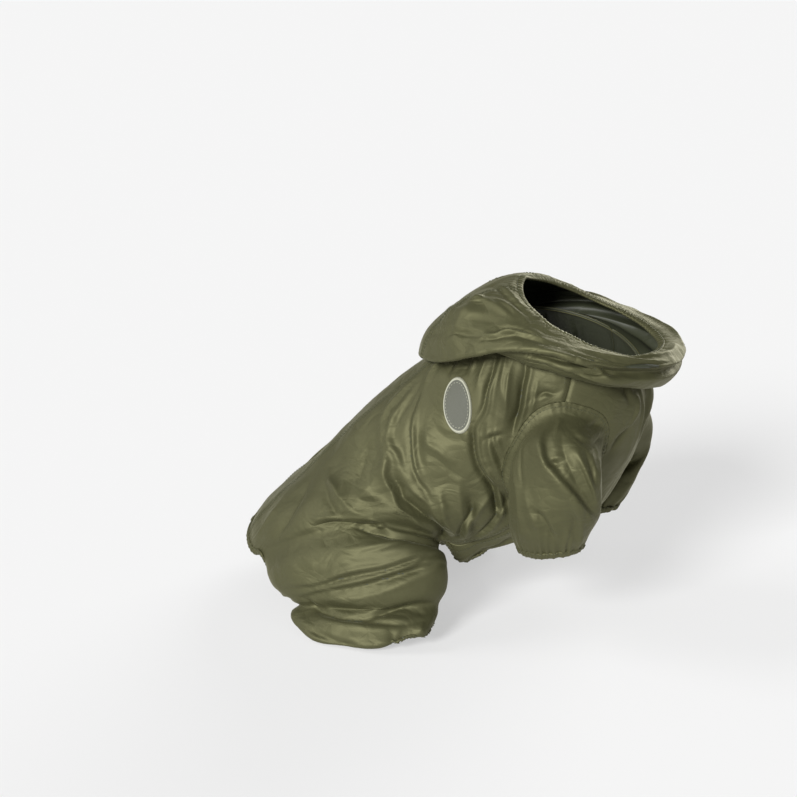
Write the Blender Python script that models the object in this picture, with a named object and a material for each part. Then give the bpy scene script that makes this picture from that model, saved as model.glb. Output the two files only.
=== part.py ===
"""A full-body raincoat for a small dog, standing open as the sitting wearer fills it.

The coat is cut as two side panels, a chest and belly panel, two sleeves, two trouser legs and a
three-piece hood that lies down round the neck. Each piece is one wall of cloth. Measures are in
millimetres in the upright, unturned coat: x runs forward, y to the wearer's left, z up from the
floor. turned() then curves the coat a little to its right and moves the origin to the withers,
where the wearer carries it.
"""

import bpy
import numpy as np

MM = 0.001
CLOTH = 1.5
SEAM_GAP = 0.6
NORMAL_BLUR = 3  # times the inner skin's directions are smoothed, so that sharp creases stay clear
WITHERS = (52.0, 0.0, 205.0)

# The coat's heading at the rump and at the chest, in degrees to the left of straight ahead.
REAR_X, FRONT_X = -110.0, 190.0
REAR_HEADING, FRONT_HEADING = 8.0, -8.0

# Grid sizes. An elastic edge folds at every column, so two columns make one gather.
SIDE_ROWS, SIDE_COLUMNS = 21, 27
BELLY_ROWS, BELLY_COLUMNS = 17, 16
SLEEVE_ROWS, SLEEVE_COLUMNS = 11, 32
LEG_ROWS, LEG_COLUMNS = 14, 32
HOOD_ROWS, HOOD_SIDE_COLUMNS, HOOD_STRIP_COLUMNS = 19, 20, 8

# The share of a piece over which its folds fade out towards a seam.
SEAM_FADE = 0.08

# How deep the gathers of an elastic edge are, and how far up each piece they run, as a share.
GATHER = 1.1
RUMP_GATHER_REACH, BELLY_GATHER_REACH, CUFF_GATHER_REACH = 0.12, 0.14, 0.2
LEG_EDGE_GATHER_REACH, HOOD_GATHER_REACH = 0.16, 0.12

# Body rings, from the neckline (0) to the rump edge (1): the ring's point on the centre back and
# on the centre front, its half width, how far its sides lie above the plane through those two
# points, and how much wider the ring is low down than high up.
RING_COLUMNS = ("along", "back_x", "back_z", "front_x", "front_z", "half_width", "side_lift", "low")
RINGS = (
    (0.00, 54, 214, 186, 187, 50, 13, 0.00),
    (0.10, 38, 197, 192, 171, 59, 12, 0.00),
    (0.20, 20, 181, 190, 150, 66, 9, 0.00),
    (0.32, -3, 162, 178, 115, 70, 5, -0.04),
    (0.44, -26, 140, 150, 72, 72, 4, -0.10),
    (0.56, -49, 115, 110, 52, 76, 8, -0.06),
    (0.68, -72, 91, 68, 48, 81, 18, 0.04),
    (0.80, -93, 71, 6, 38, 84, 14, 0.04),
    (0.91, -109, 54, -42, 24, 72, 7, 0.00),
    (1.00, -119, 38, -64, 14, 57, 0, 0.00),
)
RING_FULLNESS = 2.1  # 2 is an ellipse, and more is squarer

# Where the body ends: the rump's elastic edge, the hip seam, and the belly's elastic edge.
# around is the angle from the centre back, in degrees.
EDGE_COLUMNS = ("around", "along")
EDGE = (
    (0, 1.00), (30, 1.00), (58, 1.00), (70, 0.985), (80, 0.93), (90, 0.82), (99, 0.74),
    (112, 0.69), (128, 0.68), (144, 0.695), (160, 0.62), (180, 0.59),
)
HIP_BACK, HIP_FRONT = 72.0, 144.0

# The seam between a side panel and the belly panel.
SEAM_COLUMNS = ("down", "around")
SEAM = ((0.0, 114), (0.25, 116), (0.55, 122), (0.8, 136), (1.0, 144))

# The armhole, an oval in the body's own two directions.
ARMHOLE_ALONG, ARMHOLE_AROUND = 0.28, 125.0
ARMHOLE_HALF_ALONG, ARMHOLE_HALF_AROUND = 0.13, 24.0
ARMHOLE_FULLNESS = 2.6
ARMHOLE_START = -15.0  # where the sleeve's first column starts, in degrees from the oval's top
ARMHOLE_CUTTER_REACH = 9.0

# Rings of the sleeve and of the trouser leg: how far each reaches, and its height at four points.
TUBE_COLUMNS = (
    "station", "front_x", "back_x", "outer_y", "inner_y", "front_z", "back_z", "outer_z", "inner_z"
)
SLEEVE_RIGHT = (
    (0.30, 185, 113, 92, 65, 128, 122, 158, 93),
    (0.60, 184, 114, 102, 60, 104, 98, 118, 84),
    (0.85, 174, 114, 94, 50, 82, 78, 84, 78),
    (1.00, 168, 119, 84, 48, 72, 66, 68, 70),
)
SLEEVE_LEFT = (
    (0.30, 176, 108, 83, 65, 122, 118, 150, 92),
    (0.60, 168, 105, 90, 60, 94, 92, 104, 80),
    (0.85, 159, 102, 85, 50, 68, 66, 72, 66),
    (1.00, 152, 105, 80, 46, 56, 50, 53, 54),
)

LEG_RINGS = (
    (0.30, 65, -80, 101, 60, 52, 18, 58, 19),
    (0.52, 65, -62, 108, 62, 31, 11, 29, 15),
    (0.62, 60, -56, 106, 65, 22, 9, 19, 12),
    (0.73, 62, -61, 120, 67, 17, 6, 12, 9),
    (0.84, 61, -54, 128, 70, 13, 2, 1, 6),
    (1.00, 57, 6, 119, 76, 9, 1, 2, 3),
)
# The top of the leg: the hip seam runs round to LEG_SEAM_END degrees, and a free elastic edge from
# there down to the heel and up inside the thigh.
LEG_SEAM_END = 180.0
LEG_EDGE_COLUMNS = ("round", "x", "y", "z")
LEG_EDGE = ((200, -84, 57, 19), (222, -62, 60, 12), (250, -34, 58, 23), (300, 14, 49, 42))

# Hood rings, from the free edge round the neck to the neckline seam. x and half_width set the oval
# seen from above; z is read at five angles from the throat (0) round to the nape (180).
HOOD_COLUMN_NAMES = (
    "front_x", "back_x", "half_width", "band", "z_0", "z_45", "z_90", "z_135", "z_180"
)
HOOD_RINGS = (
    (196, 98, 45, 0, 204, 208, 222, 238, 250),
    (202, 86, 52, 0, 206, 210, 224, 243, 250),
    (209, 56, 63, 0, 205, 210, 224, 237, 234),
    (214, 27, 73, 0, 202, 209, 222, 216, 208),
    (216, 20, 76, 0, 199, 206, 217, 197, 189),
    (210, 33, 68, 2, 195, 202, 213, 205, 201),
    (213, 39, 65, 8, 189, 196, 207, 209, 207),
    (202, 45, 61, 7, 179, 190, 205, 212, 211),
    (195, 50, 57, 2, 184, 195, 210, 215, 215),
)
HOOD_ANGLES = (0, 45, 90, 135, 180)
HOOD_FULLNESS = 2.2
BAND_FULL, BAND_GONE = 70.0, 110.0  # between these angles the band sinks in under the hood's flap
HOOD_STRIP = 28.0  # degrees each side of the nape that the centre strip covers
HOOD_GAP = 0.3  # degrees from a hood piece's edge to its seam
HOOD_LIFT = 1.2  # how far the hood's lower edge lies above the neckline

# The folds of each piece. A fold runs through three places on its piece, each given as a share of
# the way down and of the way across or round; width is half its breadth, and height is how far it
# stands out, or sinks in if negative.
FOLD_COLUMNS = (
    "down_1", "across_1", "down_2", "across_2", "down_3", "across_3", "width", "height"
)
SIDE_RIGHT_FOLDS = (
    (0.30, 0.20, 0.46, 0.52, 0.97, 0.93, 8, 5.0),
    (0.38, 0.42, 0.52, 0.66, 0.85, 0.84, 6, -4.0),
    (0.33, 0.50, 0.46, 0.61, 0.77, 0.75, 7, 4.4),
    (0.48, 0.50, 0.80, 0.68, 0.98, 0.90, 7, 4.4),
    (0.07, 0.63, 0.32, 0.73, 0.66, 0.90, 8, 6.0),
    (0.06, 0.70, 0.34, 0.80, 0.66, 0.95, 7, -4.5),
    (0.07, 0.79, 0.38, 0.86, 0.70, 0.98, 7, 4.2),
    (0.58, 0.36, 0.82, 0.61, 0.98, 0.82, 9, 4.4),
    (0.66, 0.25, 0.84, 0.44, 0.97, 0.60, 11, -2.6),
    (0.10, 0.25, 0.40, 0.22, 0.80, 0.26, 14, 2.8),
)
SIDE_LEFT_FOLDS = (
    (0.25, 0.22, 0.50, 0.55, 0.98, 0.86, 9, 5.0),
    (0.36, 0.48, 0.55, 0.70, 0.90, 0.88, 6, -4.0),
    (0.20, 0.52, 0.42, 0.66, 0.80, 0.74, 8, 5.0),
    (0.06, 0.66, 0.30, 0.76, 0.70, 0.92, 7, 5.2),
    (0.06, 0.75, 0.36, 0.83, 0.66, 0.97, 7, -4.4),
    (0.55, 0.30, 0.78, 0.54, 0.98, 0.76, 10, 3.6),
    (0.70, 0.22, 0.84, 0.38, 0.95, 0.54, 12, -2.4),
)
BELLY_FOLDS = (
    (0.82, 0.06, 0.94, 0.08, 1.05, 0.08, 10, 15.0),
    (0.82, 0.94, 0.94, 0.92, 1.05, 0.92, 10, 13.0),
    (0.76, 0.22, 0.88, 0.28, 0.99, 0.30, 7, -4.0),
    (0.70, 0.72, 0.86, 0.70, 0.99, 0.68, 7, -4.0),
    (0.60, 0.40, 0.80, 0.46, 0.99, 0.44, 7, 4.0),
    (0.02, 0.28, 0.14, 0.31, 0.30, 0.32, 5, 2.5),
    (0.02, 0.42, 0.18, 0.42, 0.38, 0.44, 5, 2.5),
    (0.02, 0.56, 0.16, 0.57, 0.34, 0.55, 5, 2.5),
    (0.02, 0.70, 0.14, 0.69, 0.30, 0.68, 5, 2.5),
)
SLEEVE_RIGHT_FOLDS = (
    (0.16, 0.91, 0.43, 1.00, 0.72, 1.24, 7, 7.0),
    (0.20, 1.00, 0.48, 1.10, 0.62, 1.18, 6, -5.6),
    (0.12, 0.80, 0.50, 0.87, 0.90, 0.93, 6, 4.2),
    (0.16, 1.08, 0.26, 1.16, 0.34, 1.26, 5, 4.2),
    (0.50, 0.95, 0.72, 1.02, 0.92, 1.08, 6, 4.2),
    (0.30, 0.60, 0.60, 0.66, 0.90, 0.70, 7, 4.2),
    (0.30, 0.36, 0.56, 0.38, 0.90, 0.42, 7, -4.2),
)
SLEEVE_LEFT_FOLDS = (
    (0.14, 0.90, 0.40, 1.02, 0.80, 1.16, 7, 6.3),
    (0.18, 1.02, 0.50, 1.14, 0.74, 1.24, 6, -5.6),
    (0.14, 0.78, 0.50, 0.84, 0.90, 0.90, 6, 4.2),
    (0.40, 1.26, 0.60, 1.30, 0.88, 1.34, 6, 4.2),
    (0.30, 0.60, 0.60, 0.64, 0.90, 0.70, 7, -4.2),
)
LEG_RIGHT_FOLDS = (
    (0.05, 0.60, 0.06, 0.74, 0.07, 0.92, 6, -5.6),
    (0.42, 0.56, 0.42, 0.70, 0.30, 0.89, 5, -5.6),
    (0.49, 0.60, 0.44, 0.76, 0.35, 0.93, 5, 5.6),
    (0.27, 0.70, 0.23, 0.78, 0.15, 0.90, 6, 4.2),
    (0.62, 0.54, 0.65, 0.68, 0.57, 0.92, 5, -5.6),
    (0.56, 0.58, 0.56, 0.72, 0.48, 0.90, 5, 4.2),
    (0.70, 0.62, 0.72, 0.72, 0.70, 0.86, 4, 3.5),
    (0.20, 0.20, 0.45, 0.25, 0.60, 0.30, 7, -4.2),
)
LEG_LEFT_FOLDS = (
    (0.05, 0.58, 0.08, 0.74, 0.06, 0.90, 6, -5.6),
    (0.36, 0.58, 0.40, 0.72, 0.28, 0.88, 5, -5.6),
    (0.46, 0.58, 0.48, 0.74, 0.40, 0.93, 5, 5.6),
    (0.22, 0.66, 0.26, 0.76, 0.16, 0.88, 6, 4.2),
    (0.62, 0.54, 0.65, 0.70, 0.58, 0.92, 5, -5.6),
    (0.70, 0.60, 0.74, 0.72, 0.70, 0.84, 4, 3.5),
)

HOOD_RIGHT_FOLDS = (
    (0.29, 0.22, 0.30, 0.40, 0.27, 0.60, 4, -3.0),
    (0.22, 0.34, 0.19, 0.46, 0.16, 0.60, 6, 4.0),
    (0.08, 0.20, 0.18, 0.26, 0.30, 0.28, 7, 3.5),
    (0.15, 0.66, 0.22, 0.76, 0.26, 0.90, 6, 3.0),
)
HOOD_LEFT_FOLDS = (
    (0.28, 0.22, 0.30, 0.42, 0.27, 0.62, 4, -3.0),
    (0.20, 0.30, 0.19, 0.46, 0.14, 0.58, 6, 4.0),
    (0.08, 0.18, 0.18, 0.24, 0.30, 0.30, 7, 3.5),
    (0.14, 0.64, 0.20, 0.78, 0.27, 0.90, 6, 3.0),
)

# The oval patch, by its centre and half sizes, turned from straight down the body.
PATCH_DOWN, PATCH_ACROSS = 0.255, 0.597
PATCH_HALF_WIDE, PATCH_HALF_TALL = 12.0, 20.5
PATCH_TURN = 47.0
PATCH_THICK = 1.0
PATCH_GAP = 0.7
PATCH_ROWS, PATCH_COLUMNS = 4, 28
PATCH_FLAT = 24.0  # folds fade out this far from its centre
PATCH_FITTING = 4  # times its places are drawn back onto the true oval

OLIVE = (0.075, 0.083, 0.037)
GREY = (0.20, 0.20, 0.17)


def table(names, rows):
    """The columns of a table, by name."""
    return dict(zip(names, np.array(rows, float).T, strict=True))


def through(stations, values, at):
    """A smooth curve through values at the stations, read at at."""
    x, y = np.asarray(stations, float), np.asarray(values, float)
    rise = (y[1:] - y[:-1]).T / (x[1:] - x[:-1])
    slope = np.gradient(y, x, axis=0)
    slope[0], slope[-1] = rise.T[0], rise.T[-1]
    at = np.clip(np.asarray(at, float), x[0], x[-1])
    i = np.clip(np.searchsorted(x, at) - 1, 0, len(x) - 2)
    h = x[i + 1] - x[i]
    t = (at - x[i]) / h
    if y.ndim > 1:
        h, t = h[:, None, None], t[:, None, None]
    start = (1 + 2 * t) * (1 - t) ** 2 * y[i] + t * (1 - t) ** 2 * h * slope[i]
    return start + t * t * (3 - 2 * t) * y[i + 1] - t * t * (1 - t) * h * slope[i + 1]


def rounded(angle, fullness):
    """The cosine and sine of a round or squarish ring, at an angle in degrees."""
    c, s = np.cos(np.radians(angle)), np.sin(np.radians(angle))
    power = 2 / fullness
    return np.sign(c) * np.abs(c) ** power, np.sign(s) * np.abs(s) ** power


def turned(points):
    """Curves the straight coat along an arc, and moves the origin to the withers."""
    reach = np.linspace(-200, 300, 501)
    heading = np.radians(np.interp(reach, [REAR_X, FRONT_X], [REAR_HEADING, FRONT_HEADING]))
    step = reach[1] - reach[0]
    line_x, line_y = np.cumsum(np.cos(heading)) * step, np.cumsum(np.sin(heading)) * step
    x, y, z = np.moveaxis(np.asarray(points, float), -1, 0)
    here = np.interp(x, reach, heading)
    at_x = np.interp(x, reach, line_x) - np.interp(WITHERS[0], reach, line_x)
    at_y = np.interp(x, reach, line_y) - np.interp(WITHERS[0], reach, line_y)
    return np.stack([at_x - y * np.sin(here), at_y + y * np.cos(here), z - WITHERS[2]], -1)


# The body's form.

def body(along, around):
    """Points on the body, right side for 0 to 180 degrees around, left side for 180 to 360."""
    ring = table(RING_COLUMNS, RINGS)
    back_x, back_z, front_x, front_z, half_width, side_lift, low = (
        through(ring["along"], ring[name], along) for name in RING_COLUMNS[1:]
    )
    high, wide = rounded(around, RING_FULLNESS)
    half_x, half_z = (back_x - front_x) / 2, (back_z - front_z) / 2
    lift = side_lift * wide ** 2 / np.hypot(half_x, half_z)
    x = (back_x + front_x) / 2 + half_x * high + lift * half_z
    y = -half_width * wide * (1 - low * high)
    z = (back_z + front_z) / 2 + half_z * high - lift * half_x
    return np.stack([x, y, z], -1)


def edge_along(around):
    """How far down the body its cut edge lies."""
    edge = table(EDGE_COLUMNS, EDGE)
    folded = 180 - np.abs(180 - np.mod(around, 360))
    return np.minimum(through(edge["around"], edge["along"], folded), 1)


def body_normal(along, around):
    """The direction straight out of the body."""
    step = 0.01
    down = body(along + step, around) - body(along - step, around)
    across = body(along, around + 1) - body(along, around - 1)
    out = np.cross(down, across)
    return out / np.linalg.norm(out, axis=-1, keepdims=True)


def side_grid():
    """The right side panel, from the centre back to the belly seam."""
    seam = table(SEAM_COLUMNS, SEAM)
    down = np.linspace(0, 1, SIDE_ROWS)[:, None] * np.ones(SIDE_COLUMNS)
    last = through(seam["down"], seam["around"], down)
    around = np.linspace(0, 1, SIDE_COLUMNS) * last
    return hold_apart(body(down * edge_along(around), around), closed=False)


def belly_grid():
    """The chest and belly panel, from the right seam to the left one."""
    seam = table(SEAM_COLUMNS, SEAM)
    down = np.linspace(0, 1, BELLY_ROWS)[:, None] * np.ones(BELLY_COLUMNS)
    first = through(seam["down"], seam["around"], down)
    around = first + np.linspace(0, 1, BELLY_COLUMNS) * (360 - 2 * first)
    return hold_apart(body(down * edge_along(around), around), closed=False)


def hold_apart(points, closed):
    """Draws a piece's edges in by half of the seam's gap."""
    held = points.copy()
    pull(held, 0, 1)
    pull(held, -1, -2)
    if not closed:
        columns = held.swapaxes(0, 1)
        pull(columns, 0, 1)
        pull(columns, -1, -2)
    return held


def pull(points, edge, inner):
    """Moves one edge row towards the row inside it, square to the edge."""
    way = points[inner] - points[edge]
    along = np.gradient(points[edge], axis=0)
    along /= np.linalg.norm(along, axis=-1, keepdims=True)
    way -= (way * along).sum(axis=-1, keepdims=True) * along
    points[edge] += way / np.linalg.norm(way, axis=-1, keepdims=True) * SEAM_GAP / 2


def armhole(shrink=0.0, count=SLEEVE_COLUMNS):
    """Where the armhole's oval lies, from its top, forward and round, in along and around."""
    angle = np.linspace(0, 360, count, endpoint=False) + ARMHOLE_START
    c, s = rounded(angle, ARMHOLE_FULLNESS)
    scale = 1 - shrink
    along = ARMHOLE_ALONG - ARMHOLE_HALF_ALONG * scale * c
    around = ARMHOLE_AROUND + ARMHOLE_HALF_AROUND * scale * s
    return along, around


# Tubes: the sleeve and the trouser leg.

def tube_ring(row, count):
    """One oval ring of a tube, from its front, out and round, in rows of x, y, z."""
    ring = dict(zip(TUBE_COLUMNS, row, strict=True))
    angle = np.radians(np.linspace(0, 360, count, endpoint=False))
    x = (ring["front_x"] + ring["back_x"]) / 2 + (ring["front_x"] - ring["back_x"]) / 2 * np.cos(angle)
    y = -(ring["outer_y"] + ring["inner_y"]) / 2 - (ring["outer_y"] - ring["inner_y"]) / 2 * np.sin(angle)
    ends = (ring["front_z"] + ring["back_z"]) / 2
    sides = (ring["outer_z"] + ring["inner_z"]) / 2
    z = (ends + sides) / 2 + (ring["front_z"] - ring["back_z"]) / 2 * np.cos(angle)
    z += (ring["outer_z"] - ring["inner_z"]) / 2 * np.sin(angle) + (ends - sides) / 2 * np.cos(2 * angle)
    return np.stack([x, y, z], -1)


def sleeve_grid(rings):
    """A sleeve, from the armhole to the cuff."""
    along, around = armhole(shrink=0.015)
    root = body(along, around)
    quarter = SLEEVE_COLUMNS // 4
    rows = [np.roll(tube_ring(row, SLEEVE_COLUMNS)[::-1], quarter + 1, axis=0) for row in rings]
    stations = np.array([0.0] + [row[0] for row in rings])
    return through(stations, np.array([root] + rows), np.linspace(0, 1, SLEEVE_ROWS))


def leg_root():
    """The top of the right trouser leg: the hip seam, then the free edge inside the thigh."""
    round_at = np.linspace(0, 360, LEG_COLUMNS, endpoint=False)
    seam = round_at <= LEG_SEAM_END
    around = HIP_FRONT + (HIP_BACK - HIP_FRONT) * round_at[seam] / LEG_SEAM_END
    on_seam = body(edge_along(around), around)
    edge = table(LEG_EDGE_COLUMNS, LEG_EDGE)
    stations = np.concatenate([[LEG_SEAM_END], edge["round"], [360]])
    inside = np.stack([edge["x"], -edge["y"], edge["z"]], -1)
    ends = body(edge_along(np.array([HIP_BACK, HIP_FRONT])), np.array([HIP_BACK, HIP_FRONT]))
    points = np.concatenate([ends[:1], inside, ends[1:]])
    free = through(stations, points[:, None, :], round_at[~seam])[:, 0]
    return np.concatenate([on_seam, free])


def leg_grid():
    """The right trouser leg, from the hip seam to the cuff."""
    stations = np.array([0.0] + [row[0] for row in LEG_RINGS])
    rows = np.array([leg_root()] + [tube_ring(row, LEG_COLUMNS) for row in LEG_RINGS])
    return hold_apart(through(stations, rows, np.linspace(0, 1, LEG_ROWS)), closed=True)[:, ::-1]


# The hood.

def hood_grid(first, last, count):
    """Part of the hood, between two angles from the throat."""
    ring = table(HOOD_COLUMN_NAMES, HOOD_RINGS)
    angle = np.linspace(first, last, count)
    folded = 180 - np.abs(180 - angle)
    c, s = rounded(angle, HOOD_FULLNESS)
    mid, half = (ring["front_x"] + ring["back_x"]) / 2, (ring["front_x"] - ring["back_x"]) / 2
    x = mid[:, None] + half[:, None] * c
    band = np.interp(folded, [BAND_FULL, BAND_GONE], [1, 0])
    y = -(ring["half_width"][:, None] + ring["band"][:, None] * band) * s
    heights = np.array([ring[f"z_{at}"] for at in HOOD_ANGLES])
    z = np.array([through(HOOD_ANGLES, column, folded) for column in heights.T])
    rows = np.stack([x, y, z], -1)
    neckline = body(np.zeros(count), 180 - angle)
    neckline[:, 2] += HOOD_LIFT
    rows = np.concatenate([rows, neckline[None]])
    return through(np.arange(len(rows)), rows, np.linspace(0, len(rows) - 1, HOOD_ROWS))[:, ::-1]


# The pieces' own forms.

def side_panel(folds, flat):
    """A side panel with its folds and its elastic rump edge, flat where a patch lies on it."""
    points = side_grid()
    patch_centre = at_shares(points, False, np.array(PATCH_DOWN), np.array(PATCH_ACROSS))
    seams = ("top", "bottom", "first", "last")
    points = folded(points, False, folds, seams, patch_centre if flat else None)
    seam = table(SEAM_COLUMNS, SEAM)["around"][-1]
    on_rump = np.linspace(0, seam, SIDE_COLUMNS) < HIP_BACK
    return gathered(points, False, towards(SIDE_ROWS, True, RUMP_GATHER_REACH, GATHER) * on_rump)


def trouser_leg(folds):
    """A trouser leg with its folds, its elastic cuff and the elastic edge inside the thigh."""
    points = folded(leg_grid(), True, folds, ("top",))
    free = np.linspace(0, 360, LEG_COLUMNS, endpoint=False) < 345 - LEG_SEAM_END
    edge = towards(LEG_ROWS, False, LEG_EDGE_GATHER_REACH, GATHER) * free
    return gathered(points, True, edge + towards(LEG_ROWS, True, CUFF_GATHER_REACH, GATHER))


def patch(panel, colour):
    """The oval patch, made from the side panel's points, moved out."""
    here = np.array(PATCH_DOWN), np.array(PATCH_ACROSS)
    centre = at_shares(panel, False, *here)
    step = 0.02
    per_down = (at_shares(panel, False, here[0] + step, here[1]) - centre) / step
    per_across = (at_shares(panel, False, here[0], here[1] + step) - centre) / step
    out = np.cross(per_down, per_across)
    out /= np.linalg.norm(out)
    tall = per_down / np.linalg.norm(per_down)
    wide = np.cross(out, tall)
    turn = np.radians(PATCH_TURN)
    tall, wide = tall * np.cos(turn) + wide * np.sin(turn), wide * np.cos(turn) - tall * np.sin(turn)
    angle = np.linspace(0, 2 * np.pi, PATCH_COLUMNS, endpoint=False)
    rings = np.linspace(0, 1, PATCH_ROWS)[1:, None]
    flat = (
        (rings * np.cos(angle))[..., None] * tall * PATCH_HALF_TALL
        + (rings * np.sin(angle))[..., None] * wide * PATCH_HALF_WIDE
    )
    flat = flat.reshape(-1, 3)
    ways = np.linalg.pinv(np.stack([per_down, per_across], 1))
    shares, under = np.zeros((2, len(flat))), centre
    for _ in range(PATCH_FITTING):
        shares += ways @ (centre + flat - under).T
        under = at_shares(panel, False, here[0] + shares[0], here[1] + shares[1])
    under = np.concatenate([centre[None], under]) + out * PATCH_GAP
    count, columns = len(under), PATCH_COLUMNS
    faces = []
    for j in range(columns):
        k = (j + 1) % columns
        faces += [(0, 1 + j, 1 + k), (count, count + 1 + k, count + 1 + j)]
        for i in range(PATCH_ROWS - 2):
            a, b = 1 + i * columns + j, 1 + i * columns + k
            faces += [(a, a + columns, b + columns, b)]
            faces += [(count + a, count + b, count + b + columns, count + a + columns)]
        a, b = count - columns + j, count - columns + k
        faces += [(a, a + count, b + count, b)]
    solid("patch", np.concatenate([under + out * PATCH_THICK, under]), faces, colour)


# Solids.

def normals(points, closed):
    """The outward direction at each point of a grid whose columns run clockwise round the piece."""
    down = np.gradient(points, axis=0)
    if closed:
        across = np.roll(points, -1, axis=1) - np.roll(points, 1, axis=1)
    else:
        across = np.gradient(points, axis=1)
    out = np.cross(down, across)
    return out / np.linalg.norm(out, axis=-1, keepdims=True)


def gathered(points, closed, depth):
    """Folds the grid in and out at every second column, by a depth for each point."""
    ripple = np.where(np.arange(points.shape[1]) % 2 == 0, 1.0, -1.0)
    if not closed:
        ripple[[0, 1, -2, -1]] = 0
    return points + normals(points, closed) * (depth * ripple)[..., None]


def towards(rows, end, reach, depth):
    """A column of depths that fades from one end of a grid over a share of its rows."""
    share = np.linspace(0, 1, rows)[:, None]
    away = 1 - share if end else share
    return depth * np.clip(1 - away / reach, 0, 1) ** 1.5


def at_shares(points, closed, down, across):
    """Places on a grid, by the shares of the way down it and across or round it."""
    if closed:
        points = np.concatenate([points, points[:, :1]], axis=1)
        across = np.mod(across, 1)
    rows, columns = points.shape[:2]
    v, u = np.clip(down, 0, 1) * (rows - 1), np.clip(across, 0, 1) * (columns - 1)
    i, j = np.minimum(v.astype(int), rows - 2), np.minimum(u.astype(int), columns - 2)
    v, u = (v - i)[..., None], (u - j)[..., None]
    upper = points[i, j] * (1 - u) + points[i, j + 1] * u
    lower = points[i + 1, j] * (1 - u) + points[i + 1, j + 1] * u
    return upper * (1 - v) + lower * v


def folded(points, closed, folds, seams, flat_at=None):
    """Raises and sinks a piece's folds in its grid.

    They fade out at each edge that seams names, and round the place flat_at.
    """
    rise = np.zeros(points.shape[:2])
    t = np.linspace(0, 1, 25)
    for row in folds:
        fold = dict(zip(FOLD_COLUMNS, row, strict=True))
        down, across = (
            (1 - t) * (1 - 2 * t) * fold[f"{way}_1"] + 4 * t * (1 - t) * fold[f"{way}_2"]
            + t * (2 * t - 1) * fold[f"{way}_3"] for way in ("down", "across")
        )
        line = at_shares(points, closed, down, across)
        away = np.linalg.norm(points[:, :, None] - line, axis=-1)
        nearest = away.argmin(axis=-1)
        taper = np.sin(np.pi * (0.08 + 0.84 * t))[nearest] ** 0.5
        rise += fold["height"] * taper * np.exp(-(away.min(axis=-1) / fold["width"]) ** 2)
    rows, columns = rise.shape
    down, across = np.linspace(0, 1, rows)[:, None], np.linspace(0, 1, columns)
    for edge, away in (("top", down), ("bottom", 1 - down), ("first", across), ("last", 1 - across)):
        if edge in seams:
            rise = rise * np.clip(away / SEAM_FADE, 0, 1)
    if flat_at is not None:
        rise *= 1 - np.exp(-(np.linalg.norm(points - flat_at, axis=-1) / PATCH_FLAT) ** 6)
    return points + normals(points, closed) * rise[..., None]


def wall_faces(rows, columns, closed):
    """The faces of a wall of cloth whose outer skin comes first, and then its inner skin."""
    count = rows * columns
    across = columns if closed else columns - 1
    faces = []
    for i in range(rows - 1):
        for j in range(across):
            a, b = i * columns + j, i * columns + (j + 1) % columns
            c, d = b + columns, a + columns
            faces += [(a, d, c, b), (a + count, b + count, c + count, d + count)]
    for j in range(across):
        a, b = j, (j + 1) % columns
        c, d = a + (rows - 1) * columns, b + (rows - 1) * columns
        faces += [(a, b, b + count, a + count), (c, c + count, d + count, d)]
    if not closed:
        for i in range(rows - 1):
            a, b = i * columns, (i + 1) * columns
            c, d = a + columns - 1, b + columns - 1
            faces += [(a, a + count, b + count, b), (c, d, d + count, c + count)]
    return faces


def solid(name, vertices, faces, colour, mirrored=False):
    """Adds one piece of the coat, turned, and triangulated."""
    vertices = np.asarray(vertices).reshape(-1, 3).copy()
    if mirrored:
        vertices[:, 1] *= -1
        faces = [face[::-1] for face in faces]
    mesh = bpy.data.meshes.new(name)
    mesh.from_pydata((turned(vertices) * MM).tolist(), [], faces)
    piece = bpy.data.objects.new(name, mesh)
    bpy.context.scene.collection.objects.link(piece)
    mesh.materials.append(colour)
    mesh.shade_smooth()
    return piece


def wall(name, points, closed, colour, mirrored=False):
    """A piece of cloth, whose outer skin is the grid of points."""
    out = normals(points, closed)
    for _ in range(NORMAL_BLUR):
        out[1:-1] = (out[:-2] + 2 * out[1:-1] + out[2:]) / 4
        if closed:
            out = (np.roll(out, 1, axis=1) + 2 * out + np.roll(out, -1, axis=1)) / 4
        else:
            out[:, 1:-1] = (out[:, :-2] + 2 * out[:, 1:-1] + out[:, 2:]) / 4
    inner = points - out / np.linalg.norm(out, axis=-1, keepdims=True) * CLOTH
    faces = wall_faces(*points.shape[:2], closed)
    return solid(name, np.concatenate([points.reshape(-1, 3), inner.reshape(-1, 3)]), faces, colour, mirrored)


def armhole_cutter(name, mirrored):
    """A plug that cuts the armhole through the body."""
    along, around = armhole()
    outward = body_normal(along, around) * ARMHOLE_CUTTER_REACH
    rim = body(along, around)
    count = len(rim)
    centre = body(np.array([ARMHOLE_ALONG]), np.array([ARMHOLE_AROUND]))
    centre_out = body_normal(np.array([ARMHOLE_ALONG]), np.array([ARMHOLE_AROUND])) * ARMHOLE_CUTTER_REACH
    vertices = np.concatenate([rim + outward, rim - outward, centre + centre_out, centre - centre_out])
    faces = []
    for j in range(count):
        k = (j + 1) % count
        faces += [(j, k, k + count, j + count), (k, j, 2 * count), (j + count, k + count, 2 * count + 1)]
    cutter = solid(name, vertices, faces, bpy.data.materials["cloth"], mirrored)
    cutter.hide_render = True
    cutter.display_type = "WIRE"
    return cutter


def cut(piece, cutter):
    """Takes the cutter out of a piece."""
    step = piece.modifiers.new("armhole", "BOOLEAN")
    step.object = cutter
    step.operation = "DIFFERENCE"
    step.solver = "EXACT"


def material(name, colour, roughness):
    """A plain finish."""
    made = bpy.data.materials.new(name)
    made.use_nodes = True
    shader = made.node_tree.nodes["Principled BSDF"]
    shader.inputs["Base Color"].default_value = (*colour, 1)
    shader.inputs["Roughness"].default_value = roughness
    return made


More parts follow.
